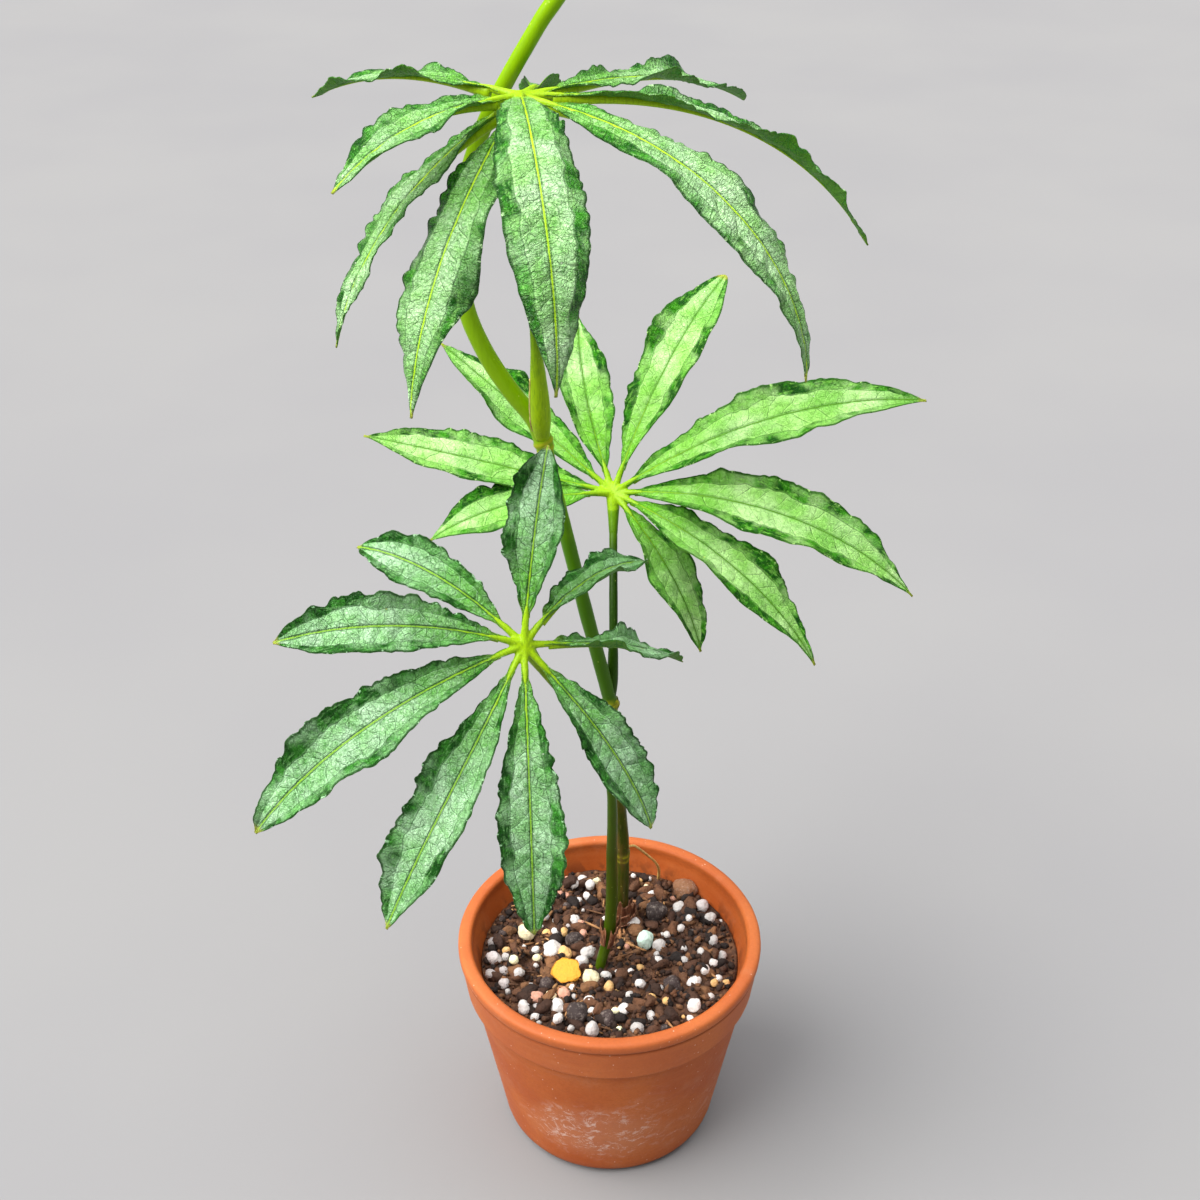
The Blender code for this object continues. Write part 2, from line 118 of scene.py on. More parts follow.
# Climbing stem: route through the middle of the stem, with its radius at each point, and the places
# and radii of the two stems that stand in the mix
STEM_ROUTE = [
    (4.4, 20.0, 40.3, 3.2),
    (4.6, 20.0, 66.0, 3.1),
    (5.0, 19.6, 90.0, 2.8),
    (5.2, 17.0, 119.0, 2.6),
    (3.2, 10.5, 155.0, 2.5),
    (0.2, 0.5, 198.0, 2.5),
    (0.0, 0.0, 203.5, 3.1),
    (-0.9, 0.0, 208.0, 2.5),
    (-9.7, 0.0, 247.0, 2.5),
    (-20.3, 0.0, 298.0, 2.5),
    (-22.4, 0.0, 308.5, 3.2),
    (-25.4, 0.0, 317.0, 3.0),
    (-32.5, 0.5, 326.5, 2.9),
    (-40.0, 1.0, 339.0, 2.9),
    (-45.7, 1.0, 354.5, 2.8),
    (-47.0, 1.0, 371.0, 2.7),
    (-45.4, 0.5, 389.5, 2.6),
    (-40.9, 0.0, 405.0, 2.5),
    (-33.8, 0.0, 420.5, 2.5),
    (-21.8, 0.0, 440.5, 2.4),
    (-16.5, 0.0, 448.0, 2.4),
    (-8.5, 0.0, 459.0, 2.2),
    (-3.0, 0.0, 467.0, 1.6),
    (0.5, 0.0, 472.5, 0.7),
]
NODE_HEIGHTS = [118.0, 203.5, 308.5]
STEM_SIDES = 28
STEM_ROW_SPACING = 0.9
STEM_FEET = [(4.6, 20.0, 3.3), (-3.8, -6.0, 2.1)]

# Leaves. A leaflet's heading turns by its swing and its rise falls to its droop on the way to the
# tip. Roll lowers its right edge, and curl lifts the bands beyond the creases or, below zero, turns
# them down. Lengths and width are in millimetres. A smaller power makes a blunter base and a smaller
# tip a blunter tip, and a larger skew moves the widest place towards the tip.
Leaflet = namedtuple(
    "Leaflet", "heading swing rise droop length width roll curl stalk power skew tip",
    defaults=(8.0, 0.77, 1.12, 1.15),
)

FRONT_HUB = (-28.4, -42.0, 256.6)
FRONT_SKEW = 1.28
FRONT_TIP = 0.85
FRONT_LEAFLETS = [
    Leaflet(74, 0, 72, 52, 65, 19, 0, 36),
    Leaflet(36, 4, 44, -28, 57, 15, -5, 36),
    Leaflet(20, 16, -10, -40, 66, 15, -5, 36),
    Leaflet(-25, 22, -42, -76, 81, 19, 40, 36),
    Leaflet(-86, 0, -42, -88, 98, 21, 0, 38),
    Leaflet(-117, -26, -34, -62, 102, 22, -15, 38),
    Leaflet(-144, -16, -1, -52, 107, 23, -35, 38),
    Leaflet(-161, -12, 28, -16, 82, 20, -40, 38),
    Leaflet(158, -12, 40, -14, 69, 17, -35, 38),
]
FRONT_LEAFLETS = [leaflet._replace(skew=FRONT_SKEW, tip=FRONT_TIP) for leaflet in FRONT_LEAFLETS]
FRONT_PETIOLE = [
    (-3.8, -6.0, 60.3, 2.0),
    (-3.8, -6.0, 78.0, 2.0),
    (-0.6, -5.2, 94.0, 2.3),
    (0.7, -5.0, 112.0, 2.3),
    (0.7, -5.4, 136.0, 2.1),
    (0.6, -7.0, 165.0, 1.8),
    (-1.6, -12.0, 187.0, 1.7),
    (-7.3, -20.0, 207.0, 1.6),
    (-15.6, -30.0, 227.5, 1.5),
    (-23.2, -38.0, 245.0, 1.6),
    (-28.2, -41.8, 256.4, 1.9),
]

MIDDLE_HUB = (1.0, 40.0, 267.6)
MIDDLE_LEAFLETS = [
    Leaflet(117, -26, 44, 34, 73, 19, 0, 24),
    Leaflet(150, 0, 32, 28, 84, 20, -15, 24),
    Leaflet(178, -6, 15, 8, 92, 21, -25, 24),
    Leaflet(-158, -20, 12, -38, 71, 19, -25, 24),
    Leaflet(50, -2, 60, 28, 91, 22, 5, 24, skew=1.3, tip=0.6),
    Leaflet(-14, 25, 41, -10, 120, 23, 30, 27),
    Leaflet(-30, 22, 18, -48, 120, 24, 28, 27),
    Leaflet(-46, 22, 2, -60, 101, 20, 15, 27),
    Leaflet(-58, 14, -14, -74, 69, 19, 0, 27),
]
MIDDLE_PETIOLE = [
    (0.3, 0.0, 206.0, 1.6),
    (0.7, 2.2, 213.0, 2.0),
    (1.0, 8.5, 227.0, 1.6),
    (1.0, 19.5, 242.0, 1.5),
    (1.0, 31.5, 256.5, 1.5),
    (1.0, 40.0, 267.2, 1.9),
]

TOP_HUB = (-26.0, -20.0, 426.0)
TOP_LEAFLETS = [
    Leaflet(162, -4, 13, -29, 68, 15, 8, 15),
    Leaflet(-137, -2, 9, -38, 68, 16, -5, 24),
    Leaflet(-139, -14, -18, -76, 91, 17, 8, 15),
    Leaflet(-112, -16, -22, -84, 101, 22, 5, -22),
    Leaflet(-86, 12, 16, -106, 117, 22, 0, -25, 3.0, 0.5),
    Leaflet(-34, 24, 0, -88, 126, 20, 15, -18),
    Leaflet(15, -8, 1, -60, 124, 16, -5, 30, skew=1.2, tip=0.8),
    Leaflet(34, 16, 4, -30, 94, 16, 5, 27, skew=1.3, tip=0.6),
    Leaflet(64, 50, 8, -88, 45, 12, 0, 50),
]
TOP_PETIOLE = [
    (-22.8, -0.6, 310.5, 2.6),
    (-23.0, -3.2, 320.0, 3.4),
    (-23.4, -5.2, 334.0, 2.6),
    (-23.8, -7.6, 345.0, 1.7),
    (-24.4, -11.0, 365.0, 1.4),
    (-25.0, -16.0, 395.0, 1.4),
    (-26.0, -20.0, 425.6, 1.8),
]

# Shape that all leaflets share
BEND_POWER = 1.3
PATH_STEPS = 240
STALK_START = 1.5
STALK_HALF_WIDTH = 1.1
TIP_HALF_WIDTH = 0.4
INNER_SLOPE = 5.0
CREASE_AT = 0.6
RUFFLE_SPACING = 8.5
RUFFLE_HEIGHT = 1.2
RUFFLE_OUT = 0.75
SWELL_HEIGHT = 1.5
SWELL_WAVES = 2.5
SWELL_SHIFT_BY_LEAFLET = 2.4
SWELL_SHIFT_ON_RIGHT = 1.9
WAVE_EASE = 0.6

# Fine shape of the blades, ribs, petioles, dry sheaths and hubs
ROW_SPACING = 0.72
HALF_COLUMNS = [0.0, 0.05, 0.1, 0.17, 0.26, 0.35, 0.44, 0.52, 0.58, 0.62, 0.68, 0.76, 0.84, 0.92, 1.0]
BLADE_OVERLAP = 1.5
BLADE_THICKNESS = 0.5
MARGIN_THICKNESS = 0.34
MARGIN_ROUND = 0.12
WIDTH_CHANGE = 0.1
CREASE_WANDER = 0.07
CURL_CHANGE = 22.0
CRINKLES = [(4.9, 0.58), (2.9, 0.26)]
CRINKLE_START = 0.5
PUCKER_SPACING = 8.0
PUCKER_HEIGHT = 0.55
FINE_PUCKER_SPACING = 2.6
FINE_PUCKER_HEIGHT = 0.28
PUCKER_START = 0.12
FACING_EVENNESS = 0.15
PATTERN_SHIFT = 37.0
RIM_UNDER = 0.3
SIDE_VEIN_SPACING = (5.0, 9.5)
SIDE_VEIN_SLANT = 0.8
SIDE_VEIN_WANDER = 2.4
SIDE_VEIN_WIDTH = 0.07
RIB_GROOVE = 0.26
RIB_GROOVE_WIDTH = 0.6
RIB_PROUD = 0.16
RIB_END_RADIUS = 0.2
RIB_TAPER = 2.4
RIB_START = 1.0
RIB_END = 0.995
RIB_ROW_SPACING = 1.2
RIB_SIDES = 10
PETIOLE_ROW_SPACING = 1.1
PETIOLE_SIDES = 18
SHEATH_THICKNESS = 0.35
SHEATH_ROWS = 16
SHEATH_COLUMNS = 22
ROUTE_STEPS = 400
SEAM_RADIUS = 0.34
SEAM_HEIGHTS = (309.0, 334.0)
STALK_RADIUS = 1.05
HUB_SPREAD = 1.2
HUB_SPREAD_LENGTH = 3.0
HUB_VOXEL = 0.36
HUB_OVERLAP = 5.0
HUB_ROWS = 22
HUB_SIDES = 12
HUB_PETIOLE_ROWS = 14
HUB_PETIOLE_SIDES = 14
HUB_SWELL = (0.1, 0.8)

# How strongly a leaf's blades wave and crinkle at their margins, bulge between their side veins and
# dip on them, how soft their creases are and how thick their ribs start.
LeafForm = namedtuple("LeafForm", "waves crinkles puffs veins softness rib")
FRONT_FORM = LeafForm(0.85, 0.75, 0.42, 0.4, 0.024, 0.8)
MIDDLE_FORM = LeafForm(0.4, 0.36, 0.22, 0.26, 0.045, 0.75)
TOP_FORM = LeafForm(0.5, 0.5, 0.34, 0.3, 0.03, 1.2)

# Yellow spots and pale droplets on the blades: how close they are, their outer radius, how close
# their patches are, where a patch starts and is full, strength and tint. Tints are 8-bit sRGB colours.
LEAF_SPOTS = [
    (0.075, 0.055, 0.05, 0.5, 0.56, 0.85, (206, 204, 84)),
    (0.17, 0.05, 0.08, 0.48, 0.55, 0.8, (226, 240, 214)),
]
SPOT_INNER = 0.035
DRY_TIP_TINT = (170, 168, 60)
# Tints of a leaf. Inner is the panel green lifted towards white by a painted sheen, and pale is painted
# sheen. Band and near_band are painted shade on the folded outer bands; near_band also darkens random
# mottles. Groove darkens the net of veins and is painted shade in the creases, beside the rib and in the
# side veins. Net is the pale of the fine veins and also gives painted highlights and glints. Margin is
# painted shade along the edge.
LeafTints = namedtuple("LeafTints", "inner pale fresh band near_band rib groove net margin under")
FRONT_TINTS = LeafTints(
    inner=(136, 199, 118),
    pale=(196, 234, 192),
    fresh=(90, 172, 20),
    band=(12, 74, 4),
    near_band=(54, 130, 36),
    rib=(146, 194, 44),
    groove=(6, 54, 0),
    net=(186, 238, 182),
    margin=(10, 58, 0),
    under=(90, 146, 48),
)
MIDDLE_TINTS = LeafTints(
    inner=(136, 205, 82),
    pale=(196, 237, 160),
    fresh=(110, 192, 2),
    band=(10, 74, 0),
    near_band=(56, 138, 16),
    rib=(40, 102, 0),
    groove=(16, 76, 0),
    net=(190, 240, 140),
    margin=(24, 80, 0),
    under=(126, 184, 44),
)
TOP_TINTS = LeafTints(
    inner=(142, 207, 104),
    pale=(202, 239, 188),
    fresh=(96, 182, 4),
    band=(14, 84, 0),
    near_band=(58, 144, 24),
    rib=(166, 214, 14),
    groove=(8, 66, 0),
    net=(198, 244, 172),
    margin=(16, 74, 0),
    under=(80, 148, 8),
)

# Tints of the stalks by how far along they are from their foot, at 0, to the leaflets, at 1
FRONT_STALK = [
    (0.0, (84, 108, 14)), (0.12, (62, 84, 6)), (0.3, (60, 72, 10)), (0.45, (62, 98, 4)),
    (0.72, (104, 148, 4)), (0.82, (156, 194, 12)), (0.88, (144, 184, 20)), (1.0, (120, 170, 40)),
]
MIDDLE_STALK = [
    (0.0, (36, 66, 0)), (0.42, (28, 58, 0)), (0.56, (94, 140, 4)),
    (0.64, (150, 192, 14)), (0.78, (124, 172, 20)), (1.0, (84, 140, 20)),
]
TOP_STALK = [
    (0.0, (154, 188, 0)), (0.16, (142, 180, 0)), (0.34, (60, 110, 0)), (0.6, (66, 118, 2)),
    (0.74, (142, 180, 14)), (0.86, (156, 194, 14)), (1.0, (166, 206, 26)),
]

# Surface of a blade, for leaf_material: its cross lines, texture, roughness and shine. Reach is how
# far down the petiole its tints go, in millimetres.
Leaf = namedtuple("Leaf", "hub leaflets petiole form tints surface stalk reach slot")
LEAVES = {
    "front": Leaf(FRONT_HUB, FRONT_LEAFLETS, FRONT_PETIOLE, FRONT_FORM, FRONT_TINTS,
                  (0.0, 0.85, 0.28, 0.2), FRONT_STALK, 200.0, "deep_leaf"),
    "middle": Leaf(MIDDLE_HUB, MIDDLE_LEAFLETS, MIDDLE_PETIOLE, MIDDLE_FORM, MIDDLE_TINTS,
                   (0.0, 0.4, 0.26, 0.14), MIDDLE_STALK, 70.0, "light_leaf"),
    "top": Leaf(TOP_HUB, TOP_LEAFLETS, TOP_PETIOLE, TOP_FORM, TOP_TINTS,
                (0.4, 0.75, 0.2, 0.32), TOP_STALK, 118.0, "deep_leaf"),
}

# Potting mix. A field is how far out from the middle of the pot its bits may lie, and the mix's
# height is found by a ray from above it, which counts where it meets the mix above its least top.
SOIL_SIDES = 150
SOIL_RINGS = 46
SOIL_FIELD = 51.2
SOIL_LEAST_TOP = 65.0
SOIL_EDGE = 50.5
ABOVE_ALL_SOIL = 200.0
CRUMB_TINTS = [(58, 35, 23), (76, 48, 32), (44, 28, 20), (96, 62, 40), (120, 82, 52), (32, 22, 18)]
FIBRE_TINTS = [(150, 104, 66), (184, 138, 90), (112, 76, 48)]
SLIVER_TINTS = [(120, 82, 52), (168, 122, 78), (86, 56, 36)]
CRUMB_COUNT = 2100
CRUMB_RADII = (0.45, 1.0)
CRUMB_FIELD = 51.4
CHIP_COUNT = 170
CHIP_RADII = (1.7, 3.6)
PERLITE_COUNT = 95
PERLITE_RADII = (0.8, 2.1)
PERLITE_FIELD = 50.6
SLIVER_COUNT = 46
SLIVER_RADII = (0.45, 0.8)
SLIVER_FIELD = 50.0
FIBRE_COUNT = 130
FIBRE_RADII = (0.5, 1.0)
PLACE_TRIES = 60
FIBRE_HEAPS = ((-17.0, -17.0, 10.0), (-24.0, 4.0, 8.0), (3.0, 8.0, 6.0), (18.0, 26.0, 7.0))

# Grains seen in the photograph: (pixel x, pixel y, radius in millimetres, tint). Those inside the
# seen field are made, the large ones among them with a finer mesh.
WHITE = (206, 200, 196)
# White perlite as it looks in shade, painted grey: painted shade.
SHADED_WHITE = (176, 168, 166)
CREAM = (246, 232, 190)
PINK = (206, 148, 124)
TAN = (222, 176, 112)
YELLOW = (232, 158, 44)
TEAL = (190, 214, 200)
LAVA = (58, 46, 44)
BARK = (124, 86, 60)
PERLITE_TINTS = [WHITE, WHITE, WHITE, WHITE, SHADED_WHITE, CREAM, PINK, TAN, LAVA]
SEEN_FIELD = 50.0
FINE_FROM_RADIUS = 2.6
GRAINS_SEEN = [
    (527, 934, 3.7, CREAM), (552, 952, 3.9, WHITE), (564, 955, 3.4, TAN), (519, 974, 2.3, WHITE),
    (494, 960, 3.2, SHADED_WHITE), (493, 944, 2.4, SHADED_WHITE), (491, 976, 2.4, SHADED_WHITE), (504, 985, 2.4, SHADED_WHITE),
    (574, 922, 2.9, WHITE), (581, 926, 2.2, PINK), (583, 935, 2.1, PINK), (564, 933, 2.0, TAN),
    (588, 954, 3.0, WHITE), (582, 963, 2.7, WHITE), (591, 980, 3.8, CREAM), (606, 977, 2.4, WHITE),
    (609, 988, 2.5, TAN), (618, 995, 2.1, TAN), (551, 997, 2.3, CREAM), (564, 995, 2.8, PINK),
    (537, 999, 2.8, PINK), (524, 1009, 2.9, WHITE), (558, 1008, 3.0, WHITE), (589, 1001, 2.2, WHITE),
    (624, 1010, 2.5, WHITE), (592, 1031, 3.0, WHITE), (637, 1030, 2.6, WHITE), (633, 925, 3.0, WHITE),
    (645, 942, 3.8, TEAL), (659, 947, 2.9, WHITE), (657, 962, 2.3, WHITE), (679, 909, 2.8, WHITE),
    (702, 907, 2.8, SHADED_WHITE), (710, 920, 2.7, WHITE), (713, 942, 2.4, WHITE), (722, 957, 2.4, WHITE),
    (705, 971, 2.3, WHITE), (713, 964, 2.0, WHITE), (694, 983, 2.8, WHITE), (672, 987, 3.6, LAVA),
    (694, 1007, 2.8, WHITE), (685, 892, 5.0, BARK), (577, 1016, 4.6, LAVA), (607, 1021, 3.6, LAVA),
    (574, 942, 3.6, LAVA), (656, 914, 4.6, LAVA), (547, 987, 3.2, LAVA), (652, 896, 2.1, WHITE),
    (574, 885, 2.3, WHITE), (582, 881, 2.4, WHITE), (590, 886, 2.2, WHITE), (587, 897, 1.9, WHITE),
    (681, 929, 1.7, WHITE), (640, 985, 2.2, WHITE), (629, 996, 1.8, WHITE), (535, 1018, 1.8, WHITE),
    (503, 972, 2.2, SHADED_WHITE), (592, 1012, 1.8, WHITE), (558, 1020, 2.4, WHITE), (651, 1017, 2.1, WHITE),
    (701, 953, 2.0, WHITE), (640, 902, 1.5, CREAM), (615, 1012, 1.7, CREAM), (666, 1002, 1.7, TAN),
]
FLAKE_PIXEL = (567, 978)
FLAKE_RADIUS = 5.4
FLAKE_HALF_THICKNESS = 0.13
FLAKE_RISE = 4.2
FLAKE_LEAN = (22.0, -8.0)

# Dry sheaths: route they stand on, lower and upper height, first and last angle, gap and flare
DRY_SLEEVES = [
    (STEM_ROUTE, 77.0, 91.0, -185.0, 25.0, 0.3, 1.1),
    (STEM_ROUTE, 77.0, 86.0, -120.0, 40.0, 1.1, 1.9),
    (STEM_ROUTE, 77.0, 83.0, -160.0, -60.0, 1.7, 2.4),
    (FRONT_PETIOLE, 90.0, 101.0, -85.0, 75.0, 0.2, 1.5),
    (FRONT_PETIOLE, 91.0, 100.0, 140.0, 250.0, 0.2, 1.1),
]

# Dried root that hangs from the stem to the potting mix
ROOT_ROUTE = [
    (6.4, 17.6, 120.0, 0.5),
    (9.6, 20.5, 118.5, 0.45),
    (13.2, 26.0, 111.0, 0.46),
    (18.6, 33.5, 99.0, 0.5),
    (20.8, 40.5, 88.5, 0.64),
    (20.9, 44.4, 80.2, 0.74),
]


def clear_start():
    """Removes anything that the file opened with apart from the frame."""
    kept = set(frame["nodes"].values()) | set(frame["bodies"].values())
    for scene_object in list(bpy.data.objects):
        if scene_object not in kept:
            bpy.data.objects.remove(scene_object, do_unlink=True)


def srgb(red, green, blue):
    """Linear colour of an 8-bit sRGB colour."""
    linear = []
    for value in (red, green, blue):
        share = value / 255.0
        linear.append(share / 12.92 if share <= 0.04045 else ((share + 0.055) / 1.055) ** 2.4)
    return (*linear, 1.0)


class Nodes:
    """Adds nodes to a tree with short calls. A value is a number, a vector, a tint or a socket."""

    def __init__(self, tree):
        self.tree = tree

    def put(self, socket, value):
        if isinstance(value, bpy.types.NodeSocket):
            self.tree.links.new(value, socket)
        else:
            socket.default_value = srgb(*value) if socket.type == "RGBA" else value

    def node(self, kind, output, inputs=(), **settings):
        """One output of a new node. Inputs are values by the name or number of their socket."""
        node = self.tree.nodes.new("ShaderNode" + kind)
        for name, value in settings.items():
            setattr(node, name, value)
        for name, value in dict(inputs).items():
            self.put(node.inputs[name], value)
        return node.outputs[output]

    def math(self, operation, *values, clamp=False):
        return self.node("Math", 0, enumerate(values), operation=operation, use_clamp=clamp)


class Paint(Nodes):
    """Builds one material. It keeps the colour so far, and over lays the next tint on it."""

    def __init__(self, name):
        self.material = bpy.data.materials.new(name)
        self.material.use_nodes = True
        super().__init__(self.material.node_tree)
        self.shader = self.tree.nodes["Principled BSDF"]
        self.place = self.node("TexCoord", "Object")
        self.colour = None

    def add(self, total, *others):
        for other in others:
            total = self.math("ADD", total, other)
        return total

    def times(self, product, *others):
        for other in others:
            product = self.math("MULTIPLY", product, other)
        return product

    def less(self, first, second):
        return self.math("SUBTRACT", first, second)

    def between(self, value, low, high, at_low=0.0, at_high=1.0, kind="SMOOTHSTEP"):
        """Smooth step of value from at_low to at_high."""
        inputs = enumerate((value, low, high, at_low, at_high))
        return self.node("MapRange", 0, inputs, interpolation_type=kind)

    def line(self, value, middle, width):
        """Soft line where value passes middle."""
        return self.between(self.math("ABSOLUTE", self.less(value, middle)), 0.0, width, 1.0, 0.0)

    def lines(self, value, spacing, width):
        """Soft lines at every spacing of value."""
        turns = self.math("FRACT", self.times(value, 1.0 / spacing))
        return self.line(turns, 0.5, width / spacing)

    def attribute(self, name, output="Fac"):
        return self.node("Attribute", output, attribute_type="GEOMETRY", attribute_name=name)

    def noise(self, scale, detail=3.0, rough=0.55, place=None):
        inputs = {"Vector": place or self.place, "Scale": scale, "Detail": detail, "Roughness": rough}
        return self.node("TexNoise", "Fac", inputs)

    def cells(self, scale, place=None, feature="DISTANCE_TO_EDGE"):
        inputs = {"Vector": place or self.place, "Scale": scale}
        return self.node("TexVoronoi", "Distance", inputs, feature=feature)

    def spots(self, scale, inner, outer, strength=1.0, place=None):
        """One round spot in each cell, full inside the inner radius and gone past the outer one."""
        return self.between(self.cells(scale, place, "F1"), inner, outer, strength, 0.0)

    def vector(self, operation, *values, output=0):
        return self.node("VectorMath", output, enumerate(values), operation=operation)

    def stretch(self, scale, place=None):
        return self.vector("MULTIPLY", place or self.place, scale)

    def warp(self, scale, strength):
        """Place pushed about by noise."""
        push = self.node("TexNoise", "Color", {"Vector": self.place, "Scale": scale})
        return self.vector("MULTIPLY_ADD", push, (strength, strength, strength), self.place)

    def axis(self, axis):
        return self.node("SeparateXYZ", axis, {0: self.place})

    def ramp(self, value, stops):
        colour = self.node("ValToRGB", 0, {0: value})
        elements = colour.node.color_ramp.elements
        while len(elements) < len(stops):
            elements.new(0.5)
        for element, (position, tint) in zip(elements, stops):
            element.position = position
            element.color = srgb(*tint)
        return colour

    def wandering_ramp(self, value, low, high, wander, stops):
        """Ramp over value from low to high, shifted about by noise."""
        share = self.between(value, low, high, kind="LINEAR")
        return self.ramp(self.add(share, wander), stops)

    def mix(self, share, first, second):
        return self.node("Mix", 2, {0: share, 6: first, 7: second}, data_type="RGBA")

    def over(self, share, tint):
        """Lays a share of a tint over the colour so far."""
        self.colour = self.mix(share, self.colour, tint)

    def bump(self, height, distance, strength):
        inputs = {"Height": height, "Distance": distance, "Strength": strength}
        self.put(self.shader.inputs["Normal"], self.node("Bump", "Normal", inputs))

    def finish(self, rough, specular):
        sockets = self.shader.inputs
        self.put(sockets["Base Color"], self.colour)
        self.put(sockets["Roughness"], rough)
        self.put(sockets["Specular IOR Level"], specular)
        return self.material


def paint_panels(paint, tints, texture, fold, run):
    """Mottled panels beside the rib, their green lifted by a painted sheen with pale patches of painted
    sheen, and bands beyond the creases darkened by painted shade, with lengthwise streaks.
    """
    patches = paint.noise(0.06 + 0.08 * texture, 3.0, 0.6)
    mottle = paint.noise(0.75, 5.0, 0.7)
    grain = paint.noise(2.3, 3.0, 0.7)
    # Inner green lifted by a painted sheen, with pale patches of painted sheen.
    paint.colour = paint.mix(paint.between(patches, 0.34, 0.66, 0.12, 0.88), tints.inner, tints.pale)
    paint.over(paint.between(paint.noise(0.05, 2.0, 0.5), 0.4, 0.56, 0.32, 0.0), tints.near_band)
    paint.over(paint.between(mottle, 0.34, 0.52, texture * 0.8, 0.0), tints.near_band)
    paint.over(paint.between(grain, 0.5, 0.66, 0.0, texture * 0.6), tints.net)
    near_stalk = paint.between(run, 12.0, 55.0, 0.75, 0.0)
    paint.over(paint.times(near_stalk, paint.between(mottle, 0.5, 0.66, 1.0, 0.4)), tints.fresh)
    # Bands beyond the creases darkened: painted shade of the folded bands, streaked lengthwise with the
    # panel green.
    past_crease = paint.between(fold, -0.02, 0.07)
    band = paint.mix(paint.between(paint.noise(0.24, 4.0, 0.65), 0.42, 0.6), tints.band, tints.near_band)
    band_strength = paint.between(paint.noise(0.09, 2.0, 0.6), 0.4, 0.58, 0.3, 1.0)
    paint.over(paint.times(past_crease, band_strength), band)
    lengthwise = paint.noise(0.8, 4.0, 0.65, paint.stretch((1.5, 0.35, 1.0)))
    paint.over(paint.times(paint.between(lengthwise, 0.5, 0.64), past_crease, 0.5), tints.inner)
    return paint.add(paint.times(mottle, 1.2), paint.times(grain, 0.7)), mottle


def paint_veins(paint, tints, texture, cross_lines, side, run, fold):
    """Net of fine veins, side veins inside the creases, dark with painted shade and with a painted
    highlight along one side, and fine ridges across the blade.
    """
    net_place = paint.warp(0.5, 2.0)
    net = paint.between(paint.cells(0.34, net_place), 0.0, 0.075, 1.0, 0.0)
    fine_net = paint.between(paint.cells(1.15, net_place), 0.0, 0.13, 1.0, 0.0)
    turns = paint.math("FRACT", paint.add(paint.attribute("vein"), 0.5))
    ridges = paint.add(run, paint.times(paint.noise(0.3, 2.0, 0.5), 3.5))
    ridges = paint.lines(paint.less(ridges, paint.times(side, 0.3)), 1.5, 0.5)
    inside = paint.times(paint.between(fold, -0.05, 0.0, 1.0, 0.0), paint.between(side, 0.4, 0.9))
    net_strength = paint.between(paint.noise(0.16, 2.0, 0.6), 0.42, 0.62, 0.1, 0.9)
    vein_strength = paint.between(paint.noise(0.2, 2.0, 0.5), 0.35, 0.6, 0.2, 0.9)
    paint.over(paint.times(net, net_strength, texture * 0.6), tints.groove)
    paint.over(paint.times(fine_net, texture * 0.32), tints.groove)
    # On the side veins: a pale line along one side is a painted highlight, and the dark line is painted
    # shade in the impressed vein.
    paint.over(paint.times(paint.line(turns, 0.56, 0.05), inside, 0.4), tints.net)
    paint.over(paint.times(paint.line(turns, 0.5, 0.03), inside, vein_strength), tints.groove)
    paint.over(paint.times(ridges, cross_lines * 0.35), tints.near_band)
    relief = paint.add(paint.times(fine_net, -0.4), paint.times(net, -0.6))
    return paint.add(relief, paint.times(ridges, cross_lines)), net


def paint_edges(paint, tints, texture, side, fold):
    """Painted shade in the creases with a faint pale line along them, the rib with painted shade beside it
    in its groove, and a margin darkened by painted shade, with painted glints.
    """
    across = paint.math("ABSOLUTE", paint.attribute("across"))
    # Painted shade in the crease, with a faint pale line along its inner side.
    paint.over(paint.times(paint.line(fold, 0.012, 0.03), 0.6), tints.groove)
    paint.over(paint.times(paint.line(fold, -0.035, 0.03), 0.15), tints.net)
    # Painted shade beside the rib, in its groove.
    paint.over(paint.times(paint.line(side, 0.55, 0.35), texture * 0.9), tints.groove)
    paint.over(paint.times(paint.between(side, 0.2, 0.42, 1.0, 0.0), 0.85), tints.rib)
    # Margin darkened by painted shade along the edge, with painted glints on it.
    glints = paint.between(paint.noise(0.5, 2.0, 0.6), 0.6, 0.68, 0.0, 0.8)
    paint.over(paint.between(across, 0.91, 0.97, 0.0, 0.85), paint.mix(glints, tints.margin, tints.net))


def leaf_material(name, tints, cross_lines, texture, rough, shine):
    """Blade of a leaflet: panels of fine net veins under a painted sheen, outer bands darkened by painted
    shade, a thin rib and a thin margin darkened by painted shade, with painted glints.
    """
    paint = Paint(name)
    paint.place = paint.attribute("leaf_mm", "Vector")
    fold = paint.attribute("fold")
    side = paint.math("ABSOLUTE", paint.axis(0))
    run = paint.axis(1)
    under = paint.attribute("under")
    uneven, mottle = paint_panels(paint, tints, texture, fold, run)
    relief, net = paint_veins(paint, tints, texture, cross_lines, side, run, fold)
    paint_edges(paint, tints, texture, side, fold)
    for scale, outer, patch_scale, low, high, strength, tint in LEAF_SPOTS:
        patches = paint.between(paint.noise(patch_scale, 1.0, 0.5), low, high)
        paint.over(paint.times(paint.spots(scale, SPOT_INNER, outer), patches, strength), tint)
    paint.over(paint.between(run, 6.0, 17.0, 0.7, 0.0), tints.rib)
    paint.over(paint.between(paint.attribute("passed"), 0.965, 0.99, 0.0, 0.8), DRY_TIP_TINT)
    paint.over(paint.times(under, 0.85), paint.mix(net, tints.under, tints.near_band))
    paint.bump(paint.add(relief, uneven), 0.0002 + 0.0005 * texture, 0.9)
    roughness = paint.between(mottle, 0.35, 0.65, rough, rough + 0.14)
    return paint.finish(paint.add(roughness, paint.times(under, 0.2)), shine)


